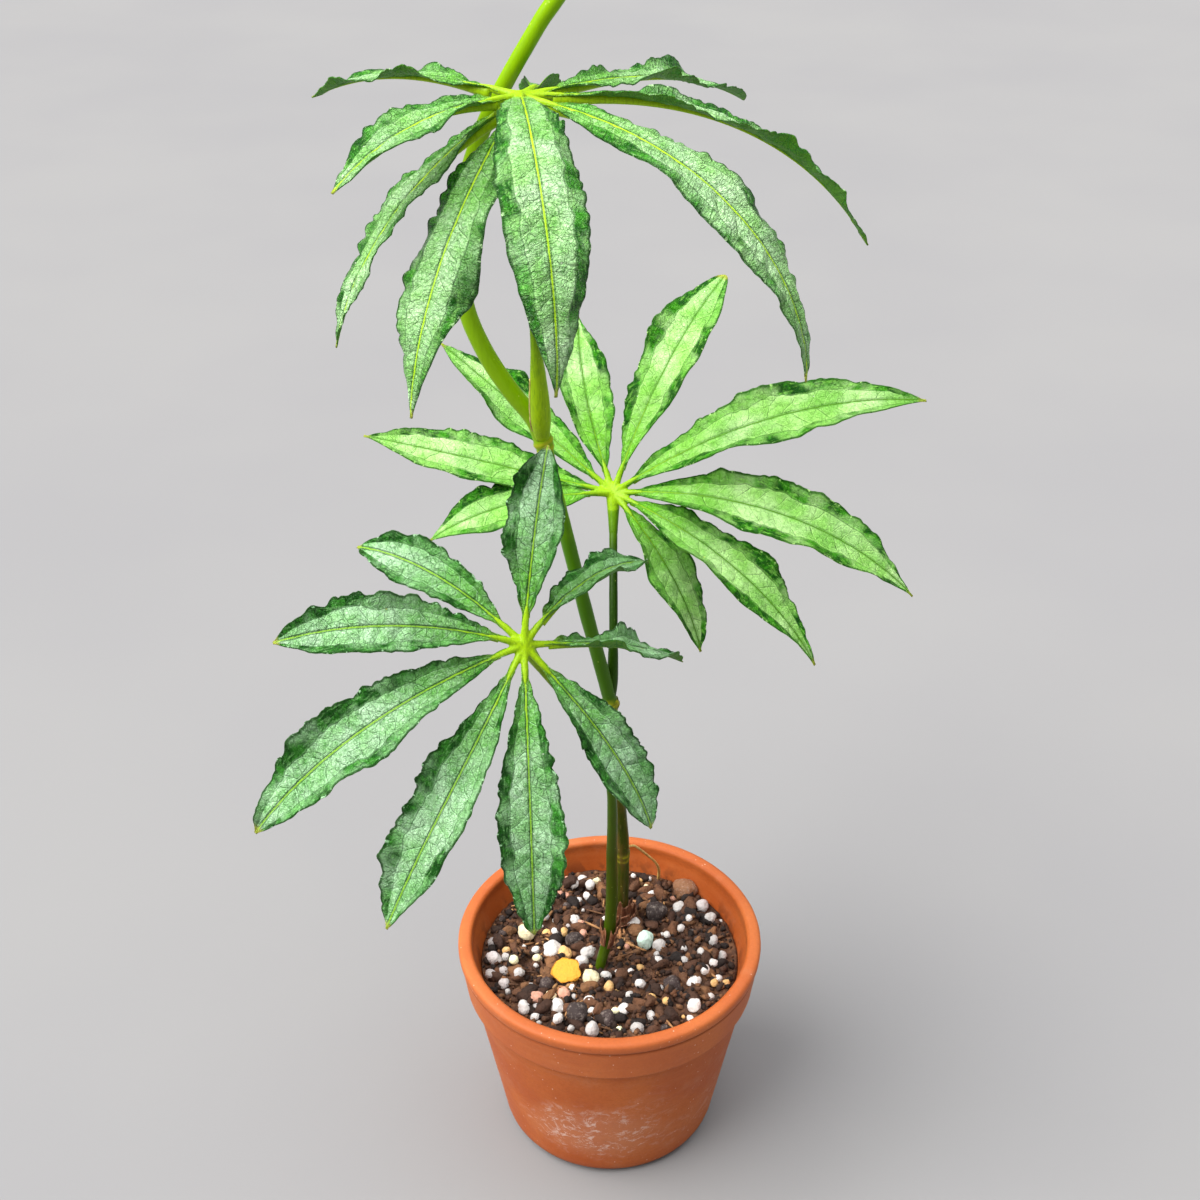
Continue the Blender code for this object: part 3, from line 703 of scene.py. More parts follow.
def stalk_material(name, stops, reach):
    """Leaf stalk and ribs, coloured by how far along they are from the hub, down the stalk below zero."""
    paint = Paint(name)
    wander = paint.times(paint.less(paint.noise(260.0, 3.0, 0.6), 0.5), 0.1)
    paint.colour = paint.wandering_ramp(paint.attribute("from_hub"), -reach, 40.0, wander, stops)
    streaks = paint.noise(1800.0, 2.0, 0.6, paint.stretch((1.0, 1.0, 0.12)))
    paint.over(paint.between(streaks, 0.42, 0.7, 0.0, 0.3), (56, 92, 6))
    paint.over(paint.spots(400.0, 0.04, 0.1, 0.4), (200, 212, 110))
    paint.bump(streaks, 0.00012, 0.5)
    return paint.finish(paint.between(streaks, 0.2, 0.8, 0.28, 0.42), 0.16)


def stem_material():
    """Climbing stem: olive brown and scarred low down, yellow green and smooth above."""
    paint = Paint("stem_skin")
    height = paint.axis(2)
    wander = paint.times(paint.less(paint.noise(70.0, 4.0, 0.6), 0.5), 0.12)
    paint.colour = paint.wandering_ramp(height, 0.07, 0.47, wander, [
        (0.0, (58, 60, 16)), (0.1, (66, 76, 12)), (0.2, (60, 76, 8)), (0.34, (58, 98, 2)),
        (0.5, (72, 120, 0)), (0.6, (126, 168, 0)), (0.8, (126, 170, 0)), (1.0, (130, 172, 0)),
    ])
    lengthwise = paint.stretch((1.0, 1.0, 0.08))
    streaks = paint.noise(1100.0, 3.0, 0.6, lengthwise)
    low = paint.between(height, 0.12, 0.22, 1.0, 0.12)
    bark = paint.between(paint.noise(150.0, 5.0, 0.65, lengthwise), 0.47, 0.6)
    scars = paint.spots(120.0, 0.07, 0.16, 1.0, paint.stretch((1.0, 1.0, 0.22)))
    scars = paint.times(scars, paint.between(height, 0.12, 0.24, 0.9, 0.0))
    paint.over(paint.times(paint.attribute("ring"), 0.75), (186, 178, 40))
    paint.over(paint.times(paint.between(streaks, 0.45, 0.72, 0.0, 0.75), low), (40, 58, 6))
    paint.over(paint.times(bark, paint.between(height, 0.1, 0.19, 0.85, 0.0)), (112, 88, 40))
    paint.over(scars, (196, 160, 116))
    paint.over(paint.spots(330.0, 0.04, 0.09, 0.5), (212, 222, 110))
    paint.bump(paint.add(paint.times(streaks, 0.5), paint.times(scars, 1.4)), 0.00018, 0.5)
    return paint.finish(paint.between(streaks, 0.2, 0.8, 0.3, 0.42), 0.16)


def paint_salt(paint, height, cloud):
    """Salt bloom low on the front, and a thinner scatter low down all round."""
    salt_place = paint.warp(90.0, 0.012)
    streaks = paint.noise(150.0, 6.0, 0.78, paint.stretch((1.0, 1.0, 1.7), salt_place))
    blots = paint.between(paint.noise(300.0, 5.0, 0.75, salt_place), 0.58, 0.67, 0.0, 0.7)
    offset = paint.stretch(SALT_SPREAD, paint.vector("SUBTRACT", paint.place, SALT_MIDDLE))
    reach = paint.vector("LENGTH", offset, output="Value")
    reach = paint.less(reach, paint.times(paint.less(cloud, 0.5), 0.9))
    scattered = paint.between(paint.noise(22.0, 2.0, 0.5), 0.52, 0.62, 0.0, 0.22)
    low = paint.times(paint.between(height, 0.006, 0.018), paint.between(height, 0.045, 0.07, 1.0, 0.0))
    amount = paint.between(reach, 0.45, 1.15, 1.0, 0.0)
    amount = paint.math("MAXIMUM", amount, paint.times(scattered, low))
    salt = paint.math("MAXIMUM", paint.between(streaks, 0.51, 0.61), blots)
    salt = paint.times(salt, amount)
    paint.over(paint.times(amount, 0.3), (200, 142, 110))
    paint.over(paint.times(salt, 0.62), (222, 196, 184))
    return salt


def paint_stains_and_crevice_shade(paint, height, cloud, inside, outside):
    """Painted shade in the crevices under the band and the lip, damp and splashes inside and a darker foot.
    """
    # Dark lines under the band and the lip: painted shade in the crevices.
    for crevice, strength in ((NECK_TOP, 0.8), (CREVICE_UNDER_LIP, 0.5)):
        crevice_shade = paint.line(height, crevice * MM, 1.1 * MM)
        paint.over(paint.times(crevice_shade, outside, strength), (96, 44, 22))
    damp = paint.between(paint.add(height, paint.times(cloud, 0.01)), 0.084, 0.097, 1.0, 0.0)
    paint.over(paint.times(inside, damp, 0.3), (150, 70, 28))
    splashes = paint.between(paint.noise(130.0, 3.0, 0.55), 0.5, 0.6)
    splash_height = paint.between(height, 0.079, 0.086, 1.0, 0.0)
    paint.over(paint.times(splashes, splash_height, inside, 0.55), (96, 48, 26))
    paint.over(paint.between(height, 0.0, 0.004, 0.35, 0.0), (110, 54, 30))


def terracotta_material():
    """Fired clay with faint turning lines, smears, a band and lip painted lighter as painted light, salt
    low on its front, stains inside and painted shade in the crevices.
    """
    paint = Paint("terracotta")
    height = paint.axis(2)
    inside = paint.attribute("inside")
    outside = paint.less(1.0, inside)
    cloud = paint.noise(28.0, 4.0, 0.6)
    fine = paint.noise(900.0, 4.0, 0.7)
    turning = paint.noise(60.0, 3.0, 0.6, paint.stretch((0.3, 0.3, 4.0)))
    dust = paint.noise(55.0, 6.0, 0.72, paint.warp(40.0, 0.02))
    paint.colour = paint.mix(paint.between(cloud, 0.35, 0.65), (172, 82, 32), (184, 97, 44))
    paint.over(paint.between(fine, 0.35, 0.75, 0.0, 0.3), (138, 62, 26))
    paint.over(paint.between(turning, 0.48, 0.7, 0.0, 0.25), (184, 104, 56))
    paint.over(paint.between(dust, 0.52, 0.72, 0.0, 0.3), (182, 120, 88))
    # Band and lip painted a lighter orange: painted light on the top-lit rim.
    band = paint.between(height, 0.0705, 0.0725)
    paint.over(paint.times(band, outside, 0.14), (212, 134, 92))
    salt = paint_salt(paint, height, cloud)
    specks = paint.between(paint.noise(140.0, 2.0, 0.5), 0.5, 0.6)
    specks = paint.times(paint.spots(360.0, 0.05, 0.13), specks)
    paint.over(paint.times(specks, outside, 0.65), (236, 206, 186))
    pits = paint.between(paint.noise(90.0, 2.0, 0.5), 0.55, 0.65)
    pits = paint.times(paint.spots(240.0, 0.03, 0.08, 1.0, paint.warp(300.0, 0.004)), pits)
    paint.over(paint.times(pits, 0.6), (92, 46, 26))
    paint_stains_and_crevice_shade(paint, height, cloud, inside, outside)
    relief = paint.add(paint.times(fine, 0.5), paint.times(turning, 1.2), paint.times(pits, -1.5))
    paint.bump(relief, 0.00016, 0.6)
    rough = paint.add(paint.between(cloud, 0.3, 0.7, 0.5, 0.6), paint.times(salt, 0.2))
    return paint.finish(rough, 0.2)


def soil_material():
    """Damp peat and bark dust."""
    paint = Paint("potting_mix")
    clumps = paint.noise(160.0, 5.0, 0.65)
    paint.colour = paint.ramp(clumps, [(0.3, (44, 27, 19)), (0.5, (80, 52, 36)), (0.68, (116, 80, 54))])
    fibres = paint.noise(700.0, 3.0, 0.7, paint.stretch((1.0, 0.25, 1.0)))
    paint.over(paint.between(fibres, 0.6, 0.75, 0.0, 0.6), (150, 100, 66))
    paint.bump(paint.add(clumps, fibres), 0.0008, 0.9)
    return paint.finish(paint.between(fibres, 0.3, 0.8, 0.7, 0.95), 0.3)


def grain_material(name, rough, mottle, mottle_share):
    """Grains that carry their own tint, mottled and pitted."""
    paint = Paint(name)
    tint = paint.attribute("tint", "Color")
    spots = paint.noise(520.0, 4.0, 0.65)
    paint.colour = paint.mix(paint.between(spots, 0.5, 0.72, 0.0, mottle_share), tint, mottle)
    pits = paint.cells(900.0, feature="F1")
    paint.over(paint.between(pits, 0.0, 0.35, 0.35, 0.0), paint.mix(0.6, tint, mottle))
    paint.bump(paint.add(spots, pits), 0.0004, 0.7)
    return paint.finish(rough, 0.4)


def papery_material(name, dark, light, vein):
    """Dry sheath with lengthwise veins."""
    paint = Paint(name)
    veins = paint.noise(1500.0, 3.0, 0.6, paint.stretch((1.0, 1.0, 0.1)))
    cloud = paint.noise(180.0, 4.0, 0.6)
    paint.colour = paint.mix(paint.between(cloud, 0.35, 0.65), dark, light)
    paint.over(paint.between(veins, 0.45, 0.7, 0.0, 0.6), vein)
    paint.bump(veins, 0.0003, 0.8)
    return paint.finish(paint.between(veins, 0.2, 0.8, 0.55, 0.8), 0.4)


def root_material():
    """Dried root, straw yellow with a browner end."""
    paint = Paint("dry_root")
    cloud = paint.noise(300.0, 4.0, 0.6)
    paint.colour = paint.mix(paint.between(cloud, 0.35, 0.65), (206, 158, 78), (230, 196, 124))
    rings = paint.noise(900.0, 2.0, 0.5)
    paint.over(paint.between(rings, 0.5, 0.7, 0.0, 0.5), (132, 88, 40))
    paint.bump(rings, 0.0002, 0.6)
    return paint.finish(paint.between(cloud, 0.3, 0.7, 0.5, 0.7), 0.3)


def floor_material():
    """Pale grey floor, faintly clouded."""
    paint = Paint("pale_floor")
    cloud = paint.noise(3.0, 3.0, 0.55)
    paint.colour = paint.mix(paint.between(cloud, 0.3, 0.7), (129, 128, 129), (132, 131, 131))
    return paint.finish(paint.between(cloud, 0.3, 0.7, 0.75, 0.85), 0.2)


def new_object(name, data):
    """Object of a mesh, a light or a camera, put into the scene."""
    scene_object = bpy.data.objects.new(name, data)
    bpy.context.scene.collection.objects.link(scene_object)
    return scene_object


VALUE_KINDS = {(): ("FLOAT", "value"), (3,): ("FLOAT_VECTOR", "vector"), (4,): ("FLOAT_COLOR", "color")}


class Shape:
    """Collects closed meshes in millimetres, with their attributes, into one piece."""

    def __init__(self):
        self.points = []
        self.faces = []
        self.slots = []
        self.values = {}
        self.count = 0

    def add(self, points, faces, slot=0, **values):
        """Adds one closed mesh. Values are arrays, one entry for each point, or one entry for all."""
        for name, entry in values.items():
            self.values.setdefault(name, []).append((self.count, len(points), np.asarray(entry)))
        for face in faces:
            self.faces.append(tuple(index + self.count for index in face))
        self.slots.extend([slot] * len(faces))
        self.points.append(np.asarray(points, float))
        self.count += len(points)

    def mesh(self, name):
        """The meshes so far as one, without their values."""
        mesh = bpy.data.meshes.new(name)
        mesh.from_pydata((np.vstack(self.points) * MM).tolist(), [], self.faces)
        return mesh

    def set_values(self, mesh):
        """Gives the mesh its values, which are zero where a part has none."""
        for name, parts in self.values.items():
            start, count, entry = parts[0]
            size = entry.shape[1:] if entry.shape[:1] == (count,) else entry.shape
            data = np.zeros((self.count, *size), np.float32)
            for start, count, entry in parts:
                data[start:start + count] = entry
            kind, field = VALUE_KINDS[size]
            layer = mesh.attributes.new(name, kind, "POINT")
            layer.data.foreach_set(field, data.ravel())

    def build(self, name, materials):
        """Makes the piece, smooth all over, and hands it to the frame."""
        mesh = self.mesh(name)
        self.set_values(mesh)
        for material in materials:
            mesh.materials.append(material)
        mesh.polygons.foreach_set("material_index", self.slots)
        mesh.shade_smooth()
        piece = new_object(name, mesh)
        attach(piece, "root")
        return piece


def lumps(x, y, z=0.0):
    """Smooth noise at a place, from about -1 to 1."""
    return noise.noise(Vector((x, y, z)))


def smooth_route(points, count):
    """Evenly spaced places on a smooth curve through the route's points, four numbers each."""
    places = [Vector(point) for point in points]
    padded = [places[0] * 2 - places[1]] + places + [places[-1] * 2 - places[-2]]
    lengths = [0.0]
    for here, after in zip(places, places[1:]):
        lengths.append(lengths[-1] + (after.xyz - here.xyz).length)
    route = []
    for index in range(count):
        target = lengths[-1] * index / (count - 1)
        span = max(number for number in range(len(places) - 1) if lengths[number] <= target)
        t = (target - lengths[span]) / (lengths[span + 1] - lengths[span])
        before, first, second, last = padded[span:span + 4]
        bend = (second - before) * t + (before * 2 - first * 5 + second * 4 - last) * t * t
        bend += (first * 3 - before - second * 3 + last) * t * t * t
        route.append(first + bend * 0.5)
    return np.array(route)


def route_length(points):
    """Length of a route along straight lines between its points."""
    places = [Vector(point[:3]) for point in points]
    return sum((after - here).length for here, after in zip(places, places[1:]))


def unit(vectors):
    """Vectors brought to a length of one."""
    return vectors / np.maximum(np.linalg.norm(vectors, axis=-1, keepdims=True), 1e-9)


def tube_faces(rows, sides):
    """Faces of a tube whose rings of points follow one another, with both its ends closed."""
    faces = [tuple(range(sides - 1, -1, -1))]
    for row in range(rows - 1):
        for step in range(sides):
            here = row * sides + step
            after = row * sides + (step + 1) % sides
            faces.append((here, after, after + sides, here + sides))
    faces.append(tuple((rows - 1) * sides + step for step in range(sides)))
    return faces


def tube(places, radii, sides, start_side=(1.0, 0.0, 0.0), round_end=0):
    """Closed tube of (points, faces). Radii is a column for each row or a grid of one radius a point."""
    forward = unit(np.gradient(places, axis=0))
    radii = np.broadcast_to(np.asarray(radii, float).reshape(len(places), -1), (len(places), sides))
    angles = np.arange(sides) * math.tau / sides
    side = np.array(start_side, float)
    rows = []
    for place, ahead, radius in zip(places, forward, radii):
        side = unit(side - ahead * side.dot(ahead))
        back = np.cross(ahead, side)
        spokes = np.outer(np.cos(angles), side) + np.outer(np.sin(angles), back)
        rows.append(place + spokes * radius[:, None])
    for step in range(round_end):
        turn = math.pi / 2 * (step + 1) / (round_end + 1)
        rim = rows[len(places) - 1] - places[-1]
        bulge = forward[-1] * np.linalg.norm(rim[0]) * math.sin(turn)
        rows.append(places[-1] + rim * math.cos(turn) + bulge)
    return np.vstack(rows), tube_faces(len(rows), sides)


def leaflet_directions(leaflet, alongs):
    """Directions in which the midrib runs at shares of its length."""
    heading = np.radians(leaflet.heading + leaflet.swing * alongs)
    fall = (leaflet.droop - leaflet.rise) * alongs ** BEND_POWER
    rise = np.radians(leaflet.rise + fall)
    level = np.cos(rise)
    return np.column_stack([level * np.cos(heading), level * np.sin(heading), np.sin(rise)])


def leaflet_path(leaflet, hub, alongs):
    """Places on the midrib and the directions to the right edge and out of the upper face."""
    marks = np.linspace(0.0, 1.0, PATH_STEPS + 1)
    steps = leaflet_directions(leaflet, (marks[1:] + marks[:-1]) / 2) * leaflet.length / PATH_STEPS
    walked = np.vstack([np.zeros(3), np.cumsum(steps, axis=0)])
    places = np.column_stack([np.interp(alongs, marks, walked[:, axis]) for axis in range(3)]) + hub
    forward = leaflet_directions(leaflet, alongs)
    heading = np.radians(leaflet.heading + leaflet.swing * alongs)
    level = np.column_stack([np.sin(heading), -np.cos(heading), np.zeros_like(alongs)])
    roll = math.radians(leaflet.roll)
    right = level * math.cos(roll) + np.cross(forward, level) * math.sin(roll)
    return places, right, np.cross(right, forward)


def blade_fraction(leaflet, alongs):
    """Shares of the blade that have been passed, from 0 at its stalk to 1 at its tip."""
    stalk = leaflet.stalk / leaflet.length
    return np.clip((alongs - stalk) / (1.0 - stalk), 0.0, 1.0)


def half_widths(leaflet, alongs):
    """Widths of the blade to one side of its midrib."""
    passed = blade_fraction(leaflet, alongs)
    power = leaflet.power + (leaflet.tip - leaflet.power) * passed
    blade = leaflet.width / 2 * np.sin(math.pi * passed ** leaflet.skew).clip(0.0) ** power
    least = STALK_HALF_WIDTH + (TIP_HALF_WIDTH - STALK_HALF_WIDTH) * passed
    return np.maximum(least, blade)


def wave_noise(values, spacing, shift):
    """Smooth wandering values from -1 to 1."""
    return np.array([lumps(value / spacing, shift, 0.37 * shift) for value in values]) * 1.6


def both_sides(across, make):
    """Grid of what make gives for each side of the blade, -1 for left and 1 for right."""
    left, right = make(-1)[:, None], make(1)[:, None]
    return np.where(across[None, :] < 0.0, left, right)


def ruffled_edge(leaflet, number, alongs, sign, form):
    """Waves of one margin with rounded scallops on them, about one millimetre high where it is 1."""
    run = alongs * leaflet.length
    start = STALK_START / leaflet.length
    pieces = max(6, round(leaflet.length / RUFFLE_SPACING))
    wave = 2 * pieces * (alongs - start) / (1.0 - start)
    shift = 3.1 * number + 1.7 * sign
    drift = 1.3 * wave_noise(wave, 3.0, shift)
    height = 0.5 + 0.5 * wave_noise(wave, 2.2, shift + 9.0)
    ruffle = -np.cos(math.pi * wave + drift) * height * form.waves
    for index, (spacing, height) in enumerate(CRINKLES):
        swing = wave_noise(run, spacing * 2.5, shift + 5.0 * index + 20.0)
        phase = math.pi * run / spacing + 2.0 * swing + shift
        scallop = 2.0 * np.abs(np.sin(phase)) ** 0.8 - 1.2
        ruffle = ruffle + form.crinkles * height * scallop * (0.8 + 0.7 * swing)
    return ruffle


def vein_counts(leaflet, number, slanted, across):
    """How many side veins have been passed, a whole number on each vein."""
    counts = np.zeros_like(slanted)
    for sign in (-1, 1):
        draw = random.Random(2 * number + sign)
        marks = [-3 * max(SIDE_VEIN_SPACING)]
        while marks[-1] < leaflet.length + max(SIDE_VEIN_SPACING):
            marks.append(marks[-1] + draw.uniform(*SIDE_VEIN_SPACING))
        columns = across < 0.0 if sign < 0 else across >= 0.0
        counts[:, columns] = np.interp(slanted[:, columns], marks, np.arange(len(marks)))
    return counts


BladeForm = namedtuple("BladeForm", "lift out ease fold veins widths")


def blade_form(leaflet, number, alongs, across, form):
    """Height of the blade above its midrib, waves and width of its margin, creases and side veins."""
    passed = blade_fraction(leaflet, alongs)
    ease = np.sin(math.pi * passed).clip(0.0)[:, None] ** WAVE_EASE
    run = alongs * leaflet.length
    side = np.abs(across)[None, :]
    change = WIDTH_CHANGE * form.waves
    widths = both_sides(across, lambda sign: 1.0 + change * wave_noise(run, 13.0, number + 60.0 * sign))
    half = half_widths(leaflet, alongs)[:, None] * widths
    flat = side * half

    def wander(sign):
        slow = wave_noise(run, 9.0, number + 7.0 * sign)
        return slow + 0.6 * wave_noise(run, 3.1, number + 5.0 * sign)

    fold = side - CREASE_AT - CREASE_WANDER * both_sides(across, wander)
    past = form.softness * np.logaddexp(0.0, fold / form.softness) * half
    curl_change = both_sides(across, lambda sign: CURL_CHANGE * wave_noise(run, 12.0, number + 40.0 * sign))
    lift = (flat - past) * math.tan(math.radians(INNER_SLOPE))
    lift = lift + past * np.tan(np.radians(leaflet.curl + curl_change))
    phase = SWELL_SHIFT_BY_LEAFLET * number + np.where(across > 0, SWELL_SHIFT_ON_RIGHT, 0.0)[None, :]
    swell = np.sin(math.tau * SWELL_WAVES * alongs[:, None] + phase)
    lift = lift + SWELL_HEIGHT * swell * ease * side ** 2

    ruffles = both_sides(across, lambda sign: ruffled_edge(leaflet, number, alongs, sign, form))
    edge = np.clip((side - CRINKLE_START) / (1.0 - CRINKLE_START), 0.0, 1.0) ** 1.3
    ruffles = ruffles * edge * ease
    lift = lift + RUFFLE_HEIGHT * ruffles

    spots = []
    for along, width in zip(run, half[:, 0]):
        spots.append([lumps(along / 11.0, share * width / 6.0, number) for share in across])
    slanted = run[:, None] - flat * SIDE_VEIN_SLANT + SIDE_VEIN_WANDER * np.array(spots)
    veins = vein_counts(leaflet, number, slanted, across)
    away = np.abs(veins - np.round(veins))
    inner = np.clip(-fold / 0.06, 0.0, 1.0) * np.clip(side / 0.15, 0.0, 1.0) * ease
    lift = lift + form.puffs * np.sin(math.pi * away) ** 0.8 * inner
    lift = lift - form.veins * np.exp(-(away / SIDE_VEIN_WIDTH) ** 2) * inner
    lift = lift - RIB_GROOVE * np.exp(-(flat / RIB_GROOVE_WIDTH) ** 2) * ease
    return BladeForm(lift, ruffles * RUFFLE_OUT, ease, fold, veins, widths)


def pucker(points, number):
    """Small uneven bulges of the blade."""
    own = Vector((number, 0.0, 0.0))
    heights = [noise.noise(Vector(point) / PUCKER_SPACING + own) for point in points]
    fine = [noise.noise(Vector(point) / FINE_PUCKER_SPACING + own) for point in points]
    return PUCKER_HEIGHT * np.array(heights) + FINE_PUCKER_HEIGHT * np.array(fine)


def blade_faces(rows, columns):
    """Faces of a closed blade: upper grid, lower grid, a rim down each margin and its two ends."""
    def top(row, column):
        return row * columns + column

    def bottom(row, column):
        return rows * columns + row * columns + column

    def rim(row, edge):
        return 2 * rows * columns + edge * rows + row

    faces = []
    last = columns - 1
    for row in range(rows - 1):
        for column in range(last):
            square = ((row, column), (row, column + 1), (row + 1, column + 1), (row + 1, column))
            faces.append(tuple(top(*corner) for corner in square))
            faces.append(tuple(bottom(*corner) for corner in square[:1] + square[:0:-1]))
        faces.append((top(row, last), rim(row, 1), rim(row + 1, 1), top(row + 1, last)))
        faces.append((rim(row, 1), bottom(row, last), bottom(row + 1, last), rim(row + 1, 1)))
        faces.append((top(row + 1, 0), rim(row + 1, 0), rim(row, 0), top(row, 0)))
        faces.append((rim(row + 1, 0), bottom(row + 1, 0), bottom(row, 0), rim(row, 0)))
    for row, step in ((0, 1), (rows - 1, -1)):
        for column in range(last):
            cap = (top(row, column), bottom(row, column), bottom(row, column + 1), top(row, column + 1))
            faces.append(cap[::step])
        faces.append((top(row, 0), rim(row, 0), bottom(row, 0))[::step])
        faces.append((top(row, last), bottom(row, last), rim(row, 1))[::step])
    return faces


def add_blade(shape, leaflet, number, hub, form):
    """Closed blade with a groove along its rib, a crease on each side and ruffled, rounded margins."""
    start = (leaflet.stalk - BLADE_OVERLAP) / leaflet.length
    rows = round(leaflet.length * (1.0 - start) / ROW_SPACING)
    alongs = np.linspace(start, 1.0, rows)
    across = np.array([-value for value in reversed(HALF_COLUMNS[1:])] + HALF_COLUMNS)
    columns = len(across)
    places, right, up = leaflet_path(leaflet, hub, alongs)
    blade = blade_form(leaflet, number, alongs, across, form)
    half = half_widths(leaflet, alongs)[:, None] * blade.widths
    outward = across[None, :] * half + np.sign(across)[None, :] * blade.out
    middle = places[:, None, :] + right[:, None, :] * outward[..., None]
    bulge = pucker(middle.reshape(-1, 3), number).reshape(rows, columns) * blade.ease
    bulge = bulge * np.minimum(1.0, np.abs(across) / PUCKER_START)
    middle = middle + up[:, None, :] * (blade.lift + bulge)[..., None]

    facing = np.cross(np.gradient(middle, axis=1), np.gradient(middle, axis=0))
    facing = unit(unit(facing) + FACING_EVENNESS * up[:, None, :])
    side = np.abs(across)[None, :]
    thick = BLADE_THICKNESS + (MARGIN_THICKNESS - BLADE_THICKNESS) * side ** 3
    thick = (thick * np.ones((rows, 1)))[..., None] / 2
    upper = middle + facing * thick
    lower = middle - facing * thick
    rims = []
    for column, neighbour in ((0, 1), (columns - 1, columns - 2)):
        outwards = unit(middle[:, column] - middle[:, neighbour])
        rims.append(middle[:, column] + outwards * MARGIN_ROUND)
    points = np.vstack([upper.reshape(-1, 3), lower.reshape(-1, 3), rims[0], rims[1]])

    def for_points(grid):
        """A grid's values for the upper face, the lower face and the two rims."""
        grid = np.broadcast_to(grid, (rows, columns))
        return np.concatenate([grid.ravel(), grid.ravel(), grid[:, 0], grid[:, -1]])

    run = for_points((alongs * leaflet.length)[:, None])
    pattern = np.full(len(points), PATTERN_SHIFT * (number + 1))
    shape.add(
        points, blade_faces(rows, columns), 0,
        across=for_points(across),
        leaf_mm=np.column_stack([for_points(outward), run, pattern]),
        passed=for_points(blade_fraction(leaflet, alongs)[:, None]),
        fold=for_points(blade.fold),
        vein=for_points(blade.veins),
        under=np.repeat([0.0, 1.0, RIM_UNDER], [rows * columns, rows * columns, 2 * rows]),
        from_hub=run,
    )


def add_rib(shape, leaflet, number, hub, form):
    """Midrib from the stalk to the tip, a little proud of the blade above and more below."""
    start = (leaflet.stalk + RIB_START) / leaflet.length
    rows = round(leaflet.length * (1.0 - start) / RIB_ROW_SPACING)
    alongs = np.linspace(start, RIB_END, rows)
    places, right, up = leaflet_path(leaflet, hub, alongs)
    lift = blade_form(leaflet, number, alongs, np.array([0.0]), form).lift[:, 0]
    passed = blade_fraction(leaflet, alongs)
    radii = RIB_END_RADIUS + (form.rib - RIB_END_RADIUS) * (1.0 - passed) ** RIB_TAPER
    sink = lift + BLADE_THICKNESS / 2 + RIB_PROUD * (1.0 - 0.5 * passed) - radii
    below = np.sin(np.arange(RIB_SIDES) * math.tau / RIB_SIDES).clip(0.0)
    radii = radii[:, None] * (1.0 + below)
    points, faces = tube(places + up * sink[:, None], radii, RIB_SIDES, right[0])
    shape.add(points, faces, 1, from_hub=np.repeat(alongs * leaflet.length, RIB_SIDES))


def grown_together(shape):
    """Points and faces of one smooth skin round all of a shape's meshes."""
    source = new_object("hub", shape.mesh("hub"))
    remesh = source.modifiers.new("grown_together", "REMESH")
    remesh.mode = "VOXEL"
    remesh.voxel_size = HUB_VOXEL * MM
    soften = source.modifiers.new("soften", "SMOOTH")
    soften.factor = 0.5
    soften.iterations = 5
    evaluated = source.evaluated_get(bpy.context.evaluated_depsgraph_get())
    result = bpy.data.meshes.new_from_object(evaluated)
    bpy.data.objects.remove(source, do_unlink=True)
    points = np.array([vertex.co for vertex in result.vertices]) / MM
    return points, [tuple(polygon.vertices) for polygon in result.polygons]


def hub_mesh(leaflets, hub, petiole):
    """Stalks of all leaflets grown into one smooth hub at the end of the petiole."""
    grown = Shape()
    for leaflet in leaflets:
        reach = leaflet.stalk + HUB_OVERLAP
        alongs = np.linspace(0.0, reach / leaflet.length, HUB_ROWS)
        places, right = leaflet_path(leaflet, hub, alongs)[:2]
        run = alongs * leaflet.length
        radii = STALK_RADIUS + HUB_SPREAD * np.exp(-run / HUB_SPREAD_LENGTH)
        radii = radii * np.clip((reach + 1.5 - run) / 6.0, 0.3, 1.0) ** 0.5
        grown.add(*tube(places, radii, HUB_SIDES, right[0]))
    end = petiole[-HUB_PETIOLE_ROWS:]
    grown.add(*tube(end[:, :3], end[:, 3] + np.linspace(*HUB_SWELL, len(end)), HUB_PETIOLE_SIDES))
    return grown_together(grown)


def add_petiole(shape, route, hub):
    """Petiole, slightly uneven. Gives its places and radii, from its foot to the hub."""
    places = smooth_route(route, round(route_length(route) / PETIOLE_ROW_SPACING))
    wobble = np.array([[lumps(x / 7.0, y / 7.0, z / 7.0)] for x, y, z, _ in places]) * 0.12
    points, faces = tube(places[:, :3], places[:, 3:] + wobble, PETIOLE_SIDES)
    shape.add(points, faces, 1, from_hub=-np.linalg.norm(points - hub, axis=1))
    return places


def make_leaf(name, leaf):
    """One leaf: its petiole, its hub and its leaflets."""
    shape = Shape()
    for number, leaflet in enumerate(leaf.leaflets):
        add_blade(shape, leaflet, number, leaf.hub, leaf.form)
        add_rib(shape, leaflet, number, leaf.hub, leaf.form)
    places = add_petiole(shape, leaf.petiole, leaf.hub)
    points, faces = hub_mesh(leaf.leaflets, leaf.hub, places)
    reach = np.linalg.norm(points - leaf.hub, axis=1)
    below = points[:, 2] < leaf.hub[2] - 4.0
    toward = places[-12, :3] - leaf.hub
    on_petiole = ((points - leaf.hub) @ unit(toward)) > 0.8 * reach
    shape.add(points, faces, 1, from_hub=np.where(on_petiole & below, -reach, reach))
    blade = leaf_material(name + "_blade", leaf.tints, *leaf.surface)
    stalk = stalk_material(name + "_stalk", leaf.stalk, leaf.reach)
    piece = shape.build(f"leaf_{name}_fine", [blade, stalk])
    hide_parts("leaf_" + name)


def make_leaves():
    """The front, middle and top leaf."""
    for name, leaf in LEAVES.items():
        make_leaf(name, leaf)


